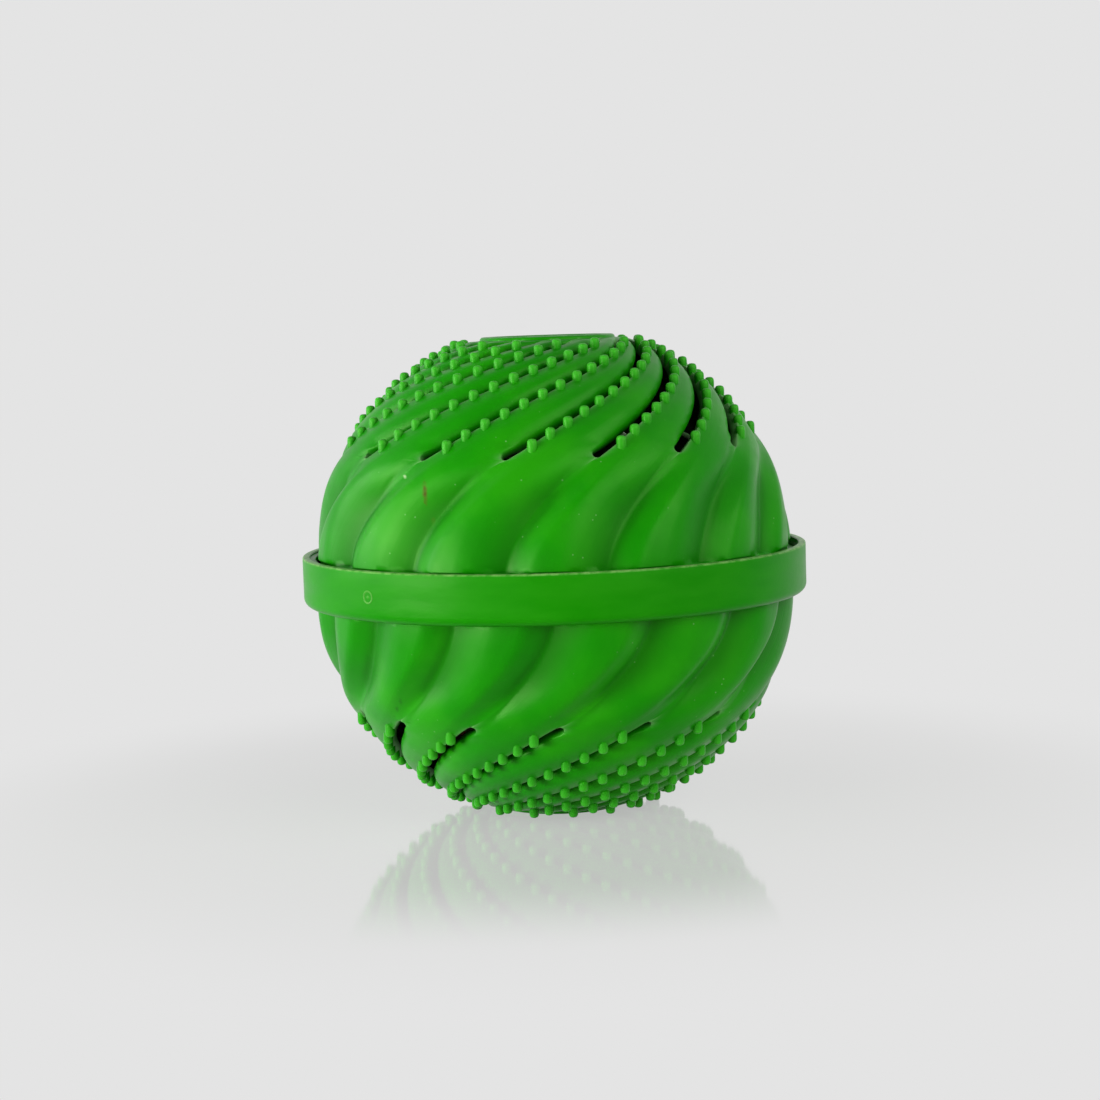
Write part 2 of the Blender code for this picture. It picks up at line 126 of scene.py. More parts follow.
@dataclass
class Surface:
    """Points and faces of a piece, with what its finish reads from them.

    A face group is an array with one face per row, all with as many corners. Each group has the UV places of
    its corners: u counts the lobes round the ball, and v runs down the row in millimetres.
    """

    points: Array
    groups: list[Index]
    uvs: list[Array] = field(default_factory=list)
    masks: dict[str, Array] = field(default_factory=dict)

    def __post_init__(self) -> None:
        """Gives every face group without UV places plain ones."""
        for group in self.groups[len(self.uvs) :]:
            self.uvs.append(np.zeros((*group.shape, 2)))

    def add(self, other: "Surface") -> None:
        """Takes in another surface's points and faces. A mask that one of the two lacks is 0 there."""
        before = len(self.points)
        for name in sorted(self.masks.keys() | other.masks.keys()):
            mine = self.masks.get(name, np.zeros(before))
            theirs = other.masks.get(name, np.zeros(len(other.points)))
            self.masks[name] = np.concatenate([mine, theirs])
        self.points = np.concatenate([self.points, other.points])
        self.groups += [group + before for group in other.groups]
        self.uvs += other.uvs

    def trimmed(self) -> "Surface":
        """The same surface without the points that no face has."""
        used = np.unique(np.concatenate([group.ravel() for group in self.groups]))
        number = np.zeros(len(self.points), np.int64)
        number[used] = np.arange(len(used))
        masks = {name: values[used] for name, values in self.masks.items()}
        return Surface(self.points[used], [number[group] for group in self.groups], self.uvs, masks)

    def mesh(self, name: str, side: Side | None = None) -> bpy.types.Mesh:
        """Makes the Blender mesh.

        Args:
            name: the mesh's name.
            side: the half that pole-up points belong to, or None where they are in the frame already.

        Returns:
            The mesh, with smooth faces and sharp edges where it turns a corner.
        """
        points = self.points if side is None else side.place(self.points)
        faces = [face for group in self.groups for face in group.tolist()]
        mesh = bpy.data.meshes.new(name)
        mesh.from_pydata(points.tolist(), [], faces)
        layer = mesh.uv_layers.new(name="swirl")
        layer.uv.foreach_set("vector", np.concatenate([uv.reshape(-1, 2) for uv in self.uvs]).ravel())
        for mask, values in self.masks.items():
            attribute = mesh.attributes.new(mask, "FLOAT", "POINT")
            attribute.data.foreach_set("value", values.astype(np.float32))
        mesh.shade_smooth()
        mesh.set_sharp_from_angle(angle=SMOOTH_ANGLE)
        mesh.update()
        return mesh


def turned(radius: Array, turn: Array, height: Array) -> Array:
    """Points (r cos a, r sin a, z) at distances r from the axis, azimuths a and heights z."""
    return np.stack(np.broadcast_arrays(radius * np.cos(turn), radius * np.sin(turn), height), axis=-1)


def numbers(points: Array) -> Index:
    """The number of each point of a grid, counted row by row."""
    return np.arange(points[..., 0].size).reshape(points.shape[:-1])


def wrap(index: Index, axis: int) -> Index:
    """Repeats a grid's first line of point numbers after its last one, so that it closes along an axis."""
    return np.concatenate([index, np.take(index, [0], axis)], axis)


def grid_faces(index: Index) -> Index:
    """The quads between the rows and columns of a grid of point numbers, or of a stack of such grids.

    A quad goes down a row, across a column and back up, so it faces along (down) x (across).
    """
    corners = [index[..., :-1, :-1], index[..., 1:, :-1], index[..., 1:, 1:], index[..., :-1, 1:]]
    return np.stack(corners, axis=-1).reshape(-1, 4)


def fan(tip: int, rim: Index) -> Index:
    """The triangles between a point and each two neighbours on a ring of point numbers."""
    return np.stack([np.full(len(rim), tip), rim, np.roll(rim, -1)], axis=1)


def capped(rings: Array, top: float, bottom: float) -> Surface:
    """Closes rings of points, which run down the outside, with fans to tips at two heights on the axis."""
    index = numbers(rings)
    faces = [grid_faces(wrap(index, 1)), fan(index.size, index[0]), fan(index.size + 1, index[-1, ::-1])]
    tips = np.array([[0.0, 0.0, top], [0.0, 0.0, bottom]])
    return Surface(np.concatenate([rings.reshape(-1, 3), tips]), faces)


def revolve(profile: Section, steps: int) -> Surface:
    """A closed turned shape.

    Formula: (r, z) of the profile goes to (r cos a, r sin a, z). The profile runs down the outside from the
    axis to the axis, or is a closed ring of points clear of it.

    Args:
        profile: radius and height of each point.
        steps: how many columns go round.

    Returns:
        The surface, facing outwards.
    """
    on_axis = profile[0][0] == 0
    ring = np.array(profile[1:-1] if on_axis else profile, float)
    points = turned(ring[:, :1], np.arange(steps) * tau / steps, ring[:, 1:])
    if on_axis:
        return capped(points, profile[0][1], profile[-1][1])
    return Surface(points.reshape(-1, 3), [grid_faces(wrap(wrap(numbers(points), 1), 0))])


def arc_points(
    centre: tuple[float, float], radius: float, start: float, end: float, steps: int
) -> Section:
    """Points of an arc in a section: centre + radius * (cos a, sin a), ends included, with a in degrees."""
    angles = [radians(start + (end - start) * i / steps) for i in range(steps + 1)]
    return [(centre[0] + radius * cos(a), centre[1] + radius * sin(a)) for a in angles]


def make_piece(name: str, mesh: bpy.types.Mesh, material: bpy.types.Material) -> bpy.types.Object:
    """Puts a mesh in the scene as a piece with its finish, and reports it."""
    piece = bpy.data.objects.new(name, mesh)
    bpy.context.scene.collection.objects.link(piece)
    mesh.materials.append(material)
    log.info("%s: %d points, %d faces", name, len(mesh.vertices), len(mesh.polygons))
    return piece


def linear(code: str) -> Colour:
    """Turns an sRGB hex colour into linear values.

    Formula: a channel c becomes c / 12.92 up to 0.04045, and ((c + 0.055) / 1.055) ** 2.4 above it.
    """
    channels = np.array([int(code[i : i + 2], 16) for i in (1, 3, 5)]) / 255
    values = np.where(channels <= 0.04045, channels / 12.92, ((channels + 0.055) / 1.055) ** 2.4)
    return (*values.tolist(), 1.0)


def add_node(
    tree: bpy.types.NodeTree,
    kind: str,
    inputs: dict[str | int, object] | tuple[object, ...] = (),
    **settings: object,
) -> Node:
    """Adds one node.

    Args:
        tree: the tree that gets it.
        kind: the node's type, without the ShaderNode that all of them start with.
        inputs: for an input's name or number, the value that it holds, the output that feeds it, or the
            node whose first output does. A tuple is for the inputs from the first on.
        settings: the node's own properties.

    Returns:
        The new node.
    """
    node = tree.nodes.new(f"ShaderNode{kind}")
    for name, value in settings.items():
        setattr(node, name, value)
    for key, value in inputs.items() if isinstance(inputs, dict) else enumerate(inputs):
        source = value.outputs[0] if isinstance(value, Node) else value
        if isinstance(source, Socket):
            tree.links.new(source, node.inputs[key])
        else:
            node.inputs[key].default_value = source
    return node


def node_adder(owner: bpy.types.Material | bpy.types.World) -> NodeAdder:
    """Empties the node tree of a material or world, and gives add_node for that tree."""
    owner.use_nodes = True
    owner.node_tree.nodes.clear()
    return partial(add_node, owner.node_tree)


@dataclass
class Layers:
    """What a finish is made of: a ground colour, and what is laid over it and goes with it.

    Each tint has the share of it that shows, and each relief has its height in millimetres. The inputs are
    the shader's other ones.
    """

    ground: Node | Colour
    tints: list[tuple[Node, str]]
    reliefs: list[tuple[Node, float]]
    inputs: dict[str, object]


class Finish:
    """A finish on a principled shader, with patterns of real sizes in the piece's own coordinates.

    It lists the noise textures that it needs, each by its name, its size in millimetres and its detail.
    """

    name: str
    noises: Noises

    def layers(self, add: NodeAdder, place: Socket, noise: dict[str, Node]) -> Layers:
        """Says what the finish is made of."""
        raise NotImplementedError

    def build(self) -> bpy.types.Material:
        """Builds the material: every tint is laid over the ones before it, and so is every relief."""
        material = bpy.data.materials.new(self.name)
        add = node_adder(material)
        place = add("TexCoord").outputs["Object"]
        noise = {
            name: add("TexNoise", {"Vector": place, "Scale": 1 / (size_mm * MM), "Detail": detail})
            for name, size_mm, detail in self.noises
        }
        layers = self.layers(add, place, noise)
        colour = layers.ground
        for share, tint in layers.tints:
            blend = add("Mix", {0: share, MIX_A: colour, MIX_B: linear(tint)}, data_type="RGBA")
            colour = blend.outputs[MIX_OUT]
        normal: dict[str, object] = {}
        for texture, height_mm in layers.reliefs:
            bump = add("Bump", {"Height": texture, "Strength": 1.0, "Distance": height_mm * MM} | normal)
            normal = {"Normal": bump}
        shader = add("BsdfPrincipled", {"Base Color": colour} | layers.inputs | normal)
        add("OutputMaterial", {"Surface": shader})
        return material


@dataclass(frozen=True)
class Plastic(Finish):
    """Green polypropylene, whose gloss takes on its colour."""

    gloss: float = 0.22
    roughness: float = 0.36
    smoother: float = 0.05
    rougher: float = 0.06
    sheen: Colour = (0.5, 1.0, 0.3, 1.0)
    ior: float = 1.49

    def shine(self, add: NodeAdder, patches: Node) -> dict[str, object]:
        """The shader's gloss, which a noise makes smoother in places and rougher in others."""
        ends = (self.roughness - self.smoother, self.roughness + self.rougher)
        return {
            "Roughness": add("MapRange", (patches, *NOISE_SPAN, *ends)),
            "IOR": self.ior,
            "Specular IOR Level": self.gloss,
            "Specular Tint": self.sheen,
        }


@dataclass(frozen=True)
class Mark:
    """A stain or scuff that use has left at one spot of the skin.

    It fills an ellipsoid about the spot, given about the ball's centre in millimetres with its half sizes.
    """

    spot_mm: tuple[float, float, float]
    reach_mm: tuple[float, float, float]
    tint: str
    most: float
    fray_mm: float = 0.6
    edge: tuple[float, float] = (0.6, 1.4)

    def share(self, add: NodeAdder, place: Socket) -> Node:
        """How much of the mark shows: all of it at the spot, none at the reach, with a frayed edge."""
        spot = [value * MM for value in self.spot_mm]
        spot[2] += HALF_HEIGHT
        off = add("VectorMath", (place, spot), operation="SUBTRACT")
        reach = [1 / (value * MM) for value in self.reach_mm]
        scaled = add("VectorMath", (off, reach), operation="MULTIPLY")
        away = add("VectorMath", (scaled,), operation="LENGTH").outputs["Value"]
        fray = add("TexNoise", {"Vector": place, "Scale": 1 / (self.fray_mm * MM), "Detail": 2.0})
        frayed = add("Math", (away, fray), operation="ADD")
        return add("MapRange", (frayed, *self.edge, self.most, 0.0))


@dataclass(frozen=True)
class MouldedPlastic(Plastic):
    """Polypropylene, injection moulded in an eroded tool.

    The tool gives a satin skin with a fine grain and faint streaks along the swirl near the poles. Its thin
    lips carry a painted highlight. Use adds specks and a few marks, and the pin tips are painted paler,
    partly for scuffs and partly as a painted highlight. Painted shade darkens the hollows, and the whole
    inside of the wall from the lips inwards.
    """

    name: str = "moulded polypropylene, satin green"
    colour: str = "#118400"
    deep: str = "#0B7C00"
    pale: str = "#1F8E04"
    worn: str = "#7FB572"
    # Painted shade in the hollows and inside, painted highlight on the lips, and the tips' wear and
    # highlight.
    painted_light_and_wear: tuple[tuple[str, str, float], ...] = (
        # Painted shade: darker where the lobes fall into the slots and grooves.
        ("hollow", "#086200", 0.68),
        # Painted shade: the whole inner skin of the wall is darkened.
        ("inside", "#022600", 1.0),
        # Pin tips painted paler: partly scuffs, partly a painted highlight on the tips.
        ("pin_rise", "#4ABA34", 0.55),
        # Painted highlight: a thin pale band along both lips of each slot.
        ("lip", "#7FB572", 0.7),
    )
    noises: Noises = (
        ("cloud", 19.0, 3.0),
        ("patch", 19.0, 2.0),
        ("sheen", 5.0, 4.0),
        ("ripple", 5.0, 1.0),
        ("grain", 0.45, 2.0),
    )
    speck_mm: float = 2.6
    speck_edge: tuple[float, ...] = (0.04, 0.08, 0.5, 0.0)
    speck_gate: tuple[float, float] = (0.48, 0.58)
    streaks: tuple[float, float, float] = (16, 0.05, 1)
    cloud_stops: tuple[float, float, float] = (0.32, 0.5, 0.68)
    relief_mm: tuple[float, float, float] = (0.06, 0.012, 0.035)
    marks: tuple[Mark, ...] = ()

    def specks(self, add: NodeAdder, place: Socket, patch: Node) -> Node:
        """Dust and nicks: towards 1 at the hearts of Voronoi cells, where a slow noise lets them through."""
        cells = add("TexVoronoi", {"Vector": place, "Scale": 1 / (self.speck_mm * MM)})
        dots = add("MapRange", (cells, *self.speck_edge))
        gate = add("MapRange", (patch, *self.speck_gate))
        return add("Math", (dots, gate), operation="MULTIPLY")

    def layers(self, add: NodeAdder, place: Socket, noise: dict[str, Node]) -> Layers:
        """The clouded green with its painted shade and highlights, specks and marks, and its ripples, grain
        and streaks.
        """
        ramp = add("ValToRGB", {"Fac": noise["cloud"]})
        stops = ramp.color_ramp.elements
        stops.new(0.5)
        for stop, position, tint in zip(stops, self.cloud_stops, (self.deep, self.colour, self.pale)):
            stop.position, stop.color = position, linear(tint)
        tints = []
        for mask, tint, most in self.painted_light_and_wear:
            value = add("Attribute", attribute_name=mask).outputs["Fac"]
            tints.append((add("Math", (value, most), operation="MULTIPLY"), tint))
        tints.append((self.specks(add, place, noise["patch"]), self.worn))
        tints += [(mark.share(add, place), mark.tint) for mark in self.marks]
        along = add("Mapping", {"Vector": add("UVMap", uv_map="swirl"), "Scale": self.streaks})
        lines = add("TexNoise", {"Vector": along, "Scale": 1.0, "Detail": 2.0})
        reliefs = list(zip((noise["ripple"], noise["grain"], lines), self.relief_mm))
        return Layers(ramp, tints, reliefs, self.shine(add, noise["sheen"]))


@dataclass(frozen=True)
class BandPlastic(Plastic):
    """Polypropylene, injection moulded in a polished tool, and handled.

    It has a smooth satin face with faint flow marks round it. Its thin top rim is pale in patches, partly
    from scuffs and partly as a painted highlight along its top.
    """

    name: str = "moulded polypropylene, band green"
    colour: str = "#128000"
    pale: str = "#1C8606"
    # The rim's pale colour: partly scuffs, partly a painted highlight along its top.
    rim: str = "#84B864"
    gloss: float = 0.12
    roughness: float = 0.32
    smoother: float = 0.04
    rougher: float = 0.08
    rim_top: float = HALF_HEIGHT + 5.3 * MM
    rim_depth: float = 0.45 * MM
    flow_mm: float = 14.0
    flow_squash: float = 3.5
    flow_edge: tuple[float, float] = (0.35, 0.65)
    scuff_edge: tuple[float, float, float] = (0.35, 0.62, 0.2)
    relief_mm: tuple[float, float] = (0.12, 0.015)
    noises: Noises = (("scuff", 1.3, 3.0),)

    def layers(self, add: NodeAdder, place: Socket, noise: dict[str, Node]) -> Layers:
        """The green with flow marks, its pale rim of scuffs and painted highlight, its gate mark, and waves
        and scuffs.
        """
        flat = add("Mapping", {"Vector": place, "Scale": (1, 1, self.flow_squash)})
        flow = add("TexNoise", {"Vector": flat, "Scale": 1 / (self.flow_mm * MM), "Detail": 4.0})
        height = add("SeparateXYZ", (place,)).outputs["Z"]
        near_rim = add("MapRange", (height, self.rim_top - self.rim_depth, self.rim_top))
        patchy = add("MapRange", (noise["scuff"], *self.scuff_edge))
        # Painted highlight and scuffs along the top rim, in patches.
        rim_scuff_and_highlight = add("Math", (near_rim, patchy), operation="MULTIPLY")
        raised = add("Attribute", attribute_name="gate").outputs["Fac"]
        # Pale where the rim has its painted highlight and scuffs, or where the gate mark is worn.
        worn = add("Math", (rim_scuff_and_highlight, raised), operation="MAXIMUM")
        tints = [(add("MapRange", (flow, *self.flow_edge)), self.pale), (worn, self.rim)]
        reliefs = list(zip((flow, noise["scuff"]), self.relief_mm))
        return Layers(linear(self.colour), tints, reliefs, self.shine(add, flow))


@dataclass(frozen=True)
class FiredClay(Finish):
    """Unglazed ceramic, rolled into beads and fired: matt, a little grainy, speckled with its minerals."""

    kind: str
    colour: str
    speck: str
    roughness: float = 0.78
    speck_mm: float = 0.7
    speck_edge: tuple[float, ...] = (0.12, 0.32, 0.8, 0.0)
    relief_mm: float = 0.08
    noises: Noises = (("grain", 0.5, 5.0),)

    @property
    def name(self) -> str:
        """The material's name."""
        return f"unglazed fired ceramic, {self.kind}"

    def layers(self, add: NodeAdder, place: Socket, noise: dict[str, Node]) -> Layers:
        """The clay's colour with mineral specks, and its grain."""
        cells = add("TexVoronoi", {"Vector": place, "Scale": 1 / (self.speck_mm * MM)})
        spots = add("MapRange", (cells, *self.speck_edge))
        cloudy = add("Math", (noise["grain"], spots), operation="MULTIPLY")
        reliefs = [(noise["grain"], self.relief_mm)]
        return Layers(linear(self.colour), [(cloudy, self.speck)], reliefs, {"Roughness": self.roughness})


@dataclass(frozen=True)
class NickelPlate(Finish):
    """Sintered magnet, nickel plated: a bright, slightly orange-peeled metal, duller in patches."""

    name: str = "nickel plate on a sintered magnet"
    colour: str = "#C9C6BD"
    dull: str = "#9C978C"
    roughness: float = 0.24
    rougher: float = 0.15
    relief_mm: float = 0.02
    noises: Noises = (("patch", 6.0, 4.0), ("peel", 0.8, 2.0))

    def layers(self, add: NodeAdder, place: Socket, noise: dict[str, Node]) -> Layers:
        """The plate with its dull patches, and its orange peel."""
        patch = noise["patch"]
        rough = add("MapRange", (patch, *NOISE_SPAN, self.roughness, self.roughness + self.rougher))
        inputs = {"Metallic": 1.0, "Roughness": rough}
        reliefs = [(noise["peel"], self.relief_mm)]
        return Layers(linear(self.colour), [(patch, self.dull)], reliefs, inputs)


@dataclass(frozen=True)
class SwirlPath:
    """The path of a slot and its row of pins over the dome.

    Down to the slots' ends it crosses every meridian at the same angle: on a Mercator map it is a straight
    line, which turns by rate per unit of latitude. Past them it eases towards the meridian.
    """

    end_angle: float = radians(58.2)
    end_azimuth: float = radians(-55.0)
    rim_angle: float = radians(84.13)
    slot_rate: float = radians(82.0)
    rim_rate: float = radians(12.0)

    def latitude(self, angle: Array | float) -> Array:
        """The Mercator latitude of a polar angle: minus the logarithm of the tangent of half of it."""
        return -np.log(np.tan(np.asarray(angle) / 2))

    def rate(self, angle: Array | float) -> Array:
        """How far the path turns per unit of latitude: steady down to the slots' ends, then eased."""
        end, rim = self.latitude(self.end_angle), self.latitude(self.rim_angle)
        share = np.clip((self.latitude(angle) - rim) / (end - rim), 0.0, 1.0)
        return mix(self.rim_rate, self.slot_rate, share)

    def azimuth(self, angle: Array | float) -> Array:
        """The azimuth of the first slot's centre line: the rate added up over the latitudes."""
        end, rim = self.latitude(self.end_angle), self.latitude(self.rim_angle)
        rise = np.maximum(self.latitude(angle) - end, rim - end)
        eased = rise * (self.slot_rate + self.rate(angle)) / 2
        return self.end_azimuth + np.where(rise >= 0, self.slot_rate * rise, eased)


@dataclass(frozen=True)
class Rows:
    """What the section across a lobe is like at each of a set of polar angles, one value per row.

    Distances along the parallel are measured from the slot's centre line. Square to the row they are
    shorter by the factor stretch.
    """

    angle: Array
    crest: Array
    stretch: Array
    pitch: Array
    left: Array
    right: Array
    half: Array
    lead_depth: Array
    lead_width: Array
    trail_depth: Array
    trail_width: Array
    lip_round: Array
    closing: Array
    groove: Array

    @property
    def body(self) -> Array:
        """The lobe's width from lip to lip, square to the row."""
        return (self.pitch + self.left - self.right) / self.stretch


@dataclass
class SwirlShell:
    """One half of the ball: a dome of fifteen lobes with slots between them, pins, pole disc and skirt."""

    lobes: int = 15
    rim_crest: float = 52.4 * MM
    pole_crest: float = 53.38 * MM
    wall: float = 2.0 * MM
    slot_width: float = 1.9 * MM
    most_slot_share: float = 0.34
    slot_top: float = radians(19.0)
    slot_tip: float = radians(58.6)
    lip_depth_share: float = 0.035
    lip_fillet: float = 0.20 * MM
    lip_fillet_width: float = 0.35 * MM
    roll_depth: float = 2.1 * MM
    roll_share: float = 0.55
    full_pitch: float = 8.0 * MM
    closing_run: float = 5.0 * MM
    deepening_run: float = 16.0 * MM
    top_closing_run: float = 2.5 * MM
    tip_depth: float = 0.8 * MM
    valley_depth: float = 3.5 * MM
    rim_valley_depth: float = 2.8 * MM
    pole_valley_depth: float = 0.5 * MM
    flank_share: float = 0.33
    rim_flank_width: float = 6.6 * MM
    rim_roll_width: float = 10.0 * MM
    ridge_share: float = 0.25
    foot_share: float = 0.18
    # The depth below the crests at which the painted shade of the hollows is full.
    hollow_shade_depth: float = 2.6 * MM
    crease: float = 0.08 * MM
    disc_radius: float = 14.0 * MM
    disc_step: float = 0.7 * MM
    disc_sink: float = 0.4 * MM
    disc_rings: tuple[float, float] = (4.2 * MM, 10.4 * MM)
    disc_ring_half: float = 0.8 * MM
    disc_ring_rise: float = 0.28 * MM
    disc_ribs: int = 30
    disc_rib_height: float = 0.3 * MM
    disc_rib_radius: float = 7.3 * MM
    disc_rib_reach: float = 1.9 * MM
    disc_floor_mm: tuple[float, ...] = (5.3, 5.6, 6.5, 8.1, 9.0, 9.3)
    disc_rim_mm: tuple[tuple[float, float], ...] = ((12.5, 0.06), (12.7, 0.0))
    disc_rim_foot: float = 12.3 * MM
    skirt_radius: float = 51.0 * MM
    skirt_top: float = 4.1 * MM
    skirt_foot: float = 0.15 * MM
    low_fading: float = 2.5 * MM
    top_fading: float = 1.5 * MM
    lip_fading: float = 0.4 * MM
    foot_onset: float = 6.0
    roll_onset: float = 2.5
    flank_onset: float = 1.5
    lip_onset: float = 3.0
    roll_steepness: float = 0.975
    # How far the lips' painted highlight reaches, and where it fades past the slot's end.
    lip_highlight_reach: float = 0.28 * MM
    lead_highlight_end: float = 0.3 * MM
    tip_highlight_reach: float = 1.1 * MM
    trail_shade_power: float = 1.5
    lead_shade_power: float = 5
    pins_per_row: int = 13
    pin_radius: float = 1.03 * MM
    pin_first_rise: float = 0.5 * MM
    pin_last_rise: float = 1.55 * MM
    pin_pitch: float = 4.42 * MM
    pin_first: float = radians(54.95)
    pin_offset: float = 1.1 * MM
    pin_sink: float = 1.9 * MM
    pin_sides: int = 10
    pin_clear: float = 0.5 * MM
    pin_free_lip: float = 0.3 * MM
    pin_foot: tuple[tuple[float, float, float], ...] = (
        (0.03, -0.02 * MM, 0.3 * MM),
        (0.0, 0.45 * MM, 0.1 * MM),
    )
    pin_dome: tuple[tuple[float, float], ...] = (
        (1.0, 0.95 * MM),
        (0.93, 0.5 * MM),
        (0.74, 0.19 * MM),
        (0.4, 0.04 * MM),
    )
    # How much of the pins' pale tip colour each ring gets, from the sole up: partly scuffs, partly painted
    # highlight.
    pin_ring_wear_and_sheen: tuple[float, ...] = (0.0, 0.0, 0.3, 0.65, 1.0, 1.0, 1.0)
    lug_count: int = 5
    lug_arc: float = radians(30.0)
    lug_steps: int = 14
    lug_taper: float = 0.82
    path: SwirlPath = field(default_factory=SwirlPath)
    near_lip: tuple[float, ...] = (0.0, 0.06 * MM, 0.15 * MM, 0.27 * MM, 0.45 * MM)
    lip_widening: float = 2.5
    end_rows: Array = field(default_factory=lambda: np.array([0.2, 0.4, 0.6, 0.8, 1.0]))
    round_rows: int = 8
    slot_rows: int = 58
    groove_rows: int = 30
    groove_bunching: float = 1.3
    body_columns: int = 15
    roll_bunching: float = 1.25
    inner_column_step: int = 2

    @property
    def low_centre(self) -> float:
        """The polar angle of the centre of the slots' lower round ends."""
        return self.slot_tip - self.slot_width / 2 / self.pole_crest

    @property
    def disc_foot(self) -> tuple[float, float]:
        """Radius and height of the foot of the pole disc's rounded edge."""
        return self.disc_radius + self.disc_step, HALF_HEIGHT - self.disc_step

    def crest_radius(self, angle: Array | float) -> Array:
        """The crests' distance from the centre: round down to the slots' ends, then drawn in to the rim."""
        past = np.maximum(np.asarray(angle) - self.path.end_angle, 0)
        return mix(self.pole_crest, self.rim_crest, (past / (self.path.rim_angle - self.path.end_angle)) ** 2)

    def rows(self, angle: Array) -> Rows:
        """Works out the section at each polar angle.

        The slot is a straight band with a round end, drawn on the parallels: past the point where an edge
        ends, it follows the end's circle, which the slant shifts sideways. Beyond its tips the band narrows
        to a crease, and both of its sides go over to the sides of a groove.
        """
        crest = self.crest_radius(angle)
        slant = self.path.rate(angle)
        stretch = np.hypot(1.0, slant)
        pitch = tau / self.lobes * crest * np.sin(angle)
        half = np.minimum(self.slot_width, self.most_slot_share * pitch / stretch) / 2
        top_half = float(np.interp(self.slot_top, angle, half))
        half = np.where(angle < self.slot_top, top_half, half)
        lean = slant / stretch
        right, left = half * stretch, -half * stretch
        pasts = []
        for end, way, fading in ((self.low_centre, 1, self.low_fading), (self.slot_top, -1, self.top_fading)):
            off = (angle - end) * self.pole_crest
            circle = np.sqrt(np.maximum(half**2 - off**2, 0.0))
            right = np.where(way * off > way * half * lean, off * slant + circle, right)
            left = np.where(way * off > -way * half * lean, off * slant - circle, left)
            past = way * off - half
            drift = way * half * slant * np.exp(-((past / fading) ** 2))
            right, left = np.where(past > 0, drift, right), np.where(past > 0, drift, left)
            pasts.append(past)
        past_low, past_top = pasts

        square_pitch = pitch / stretch
        scale = np.minimum(square_pitch / self.full_pitch, 1.0)
        run = (self.path.rim_angle - self.low_centre) * self.rim_crest - self.slot_width / 2
        groove = np.clip(past_low / run, 0.0, 1.0)
        low_closing = smoothstep(1 + (past_low + 2 * half) * stretch / self.closing_run)
        deepened = smoothstep(past_low * stretch / self.deepening_run)
        top_closing = smoothstep(past_top * stretch / self.top_closing_run)
        valley = mix(self.valley_depth, self.rim_valley_depth, smoothstep(groove))
        valley = mix(self.tip_depth, valley, deepened)
        lead, trail = (
            mix(mix(depth, valley, low_closing), self.pole_valley_depth, top_closing)
            for depth in (self.lip_depth_share * square_pitch, self.roll_depth * scale)
        )
        widening = smoothstep(groove * self.flank_onset)
        lead_width = mix(self.flank_share * square_pitch, self.rim_flank_width, widening)
        roll_width = (square_pitch - 2 * half) * self.roll_share
        trail_width = mix(roll_width, self.rim_roll_width, smoothstep(groove))
        closing = np.maximum(low_closing, top_closing)
        past = np.maximum(np.maximum(past_low, past_top), 0) / self.lip_fading
        rounding = self.lip_fillet * scale * np.exp(-(past**2))
        band = mix(half, self.crease, np.maximum(deepened, top_closing))
        columns = [crest, stretch, pitch, left, right, band, lead, lead_width, trail, trail_width]
        columns += [rounding, closing, groove]
        return Rows(angle[:, None], *[value[:, None] for value in columns])

    def sides(self, rows: Rows, across: Array) -> Array:
        """How far one slot, or the groove that carries it on, takes both of its sides below the crests.

        Formula: the leading side is a slope from its lip to the ridge, where a short parabola rounds it
        into the lobe. Beside a groove a second parabola rounds its foot. The trailing side rolls over as a
        circle's 1 - sqrt(1 - x * x) beside a slot, and as x * x * (2 - x) beside a groove. Across the band
        between the two, one goes over to the other.

        Args:
            rows: the sections.
            across: distances along the parallel from the slot's centre line.

        Returns:
            The depths, shaped as across.
        """
        square = across / rows.stretch
        fall = 1 - np.clip((square - rows.half) / rows.lead_width, 0, 1)
        soft = self.ridge_share
        foot = self.foot_share * smoothstep(rows.groove * self.foot_onset) + 0.001
        slope = np.where(fall < soft, fall**2 / (2 * soft), fall - soft / 2)
        slope = slope - np.maximum(fall - 1 + foot, 0) ** 2 / (2 * foot)
        lead = rows.lead_depth * slope / (1 - soft / 2 - foot / 2)
        x = 1 - np.clip((-square - rows.half) / rows.trail_width, 0, 1)
        steep = self.roll_steepness
        roll = (1 - np.sqrt(1 - (steep * x) ** 2)) / (1 - np.sqrt(1 - steep**2))
        trail = rows.trail_depth * mix(roll, x * x * (2 - x), smoothstep(rows.groove * self.roll_onset))
        return mix(trail, lead, smoothstep((square / np.maximum(rows.half, 0.01 * MM) + 1) / 2))

    def depth(self, rows: Rows, across: Array) -> Array:
        """How far a lobe's surface lies below the crests: what the slots on both sides take off, and the
        rounding of its two lips.

        Args:
            rows: the sections.
            across: distances along the parallel from the centre line of the slot before the lobe.

        Returns:
            The depths, shaped as across.
        """
        out = (across - rows.right) / rows.stretch
        lips = (1 - np.clip(out / self.lip_fillet_width, 0, 1)) ** 2
        lips = lips + (1 - np.clip((rows.body - out) / self.lip_fillet_width, 0, 1)) ** 2
        return self.sides(rows, across) + self.sides(rows, across - rows.pitch) + rows.lip_round * lips

    def columns(self, rows: Rows) -> Array:
        """The columns' distances from the leading lip: close at both lips, and denser on the roll."""
        near = np.array(self.near_lip) * (1 + self.lip_widening * smoothstep(rows.groove * self.lip_onset))
        share = np.arange(1, self.body_columns + 1) / (self.body_columns + 1)
        share = mix(share, 1 - (1 - share) ** self.roll_bunching, 1 - rows.closing)
        inner = near[:, -1:] + (rows.body - 2 * near[:, -1:]) * share
        return np.concatenate([near, inner, rows.body - near[:, ::-1]], axis=1)

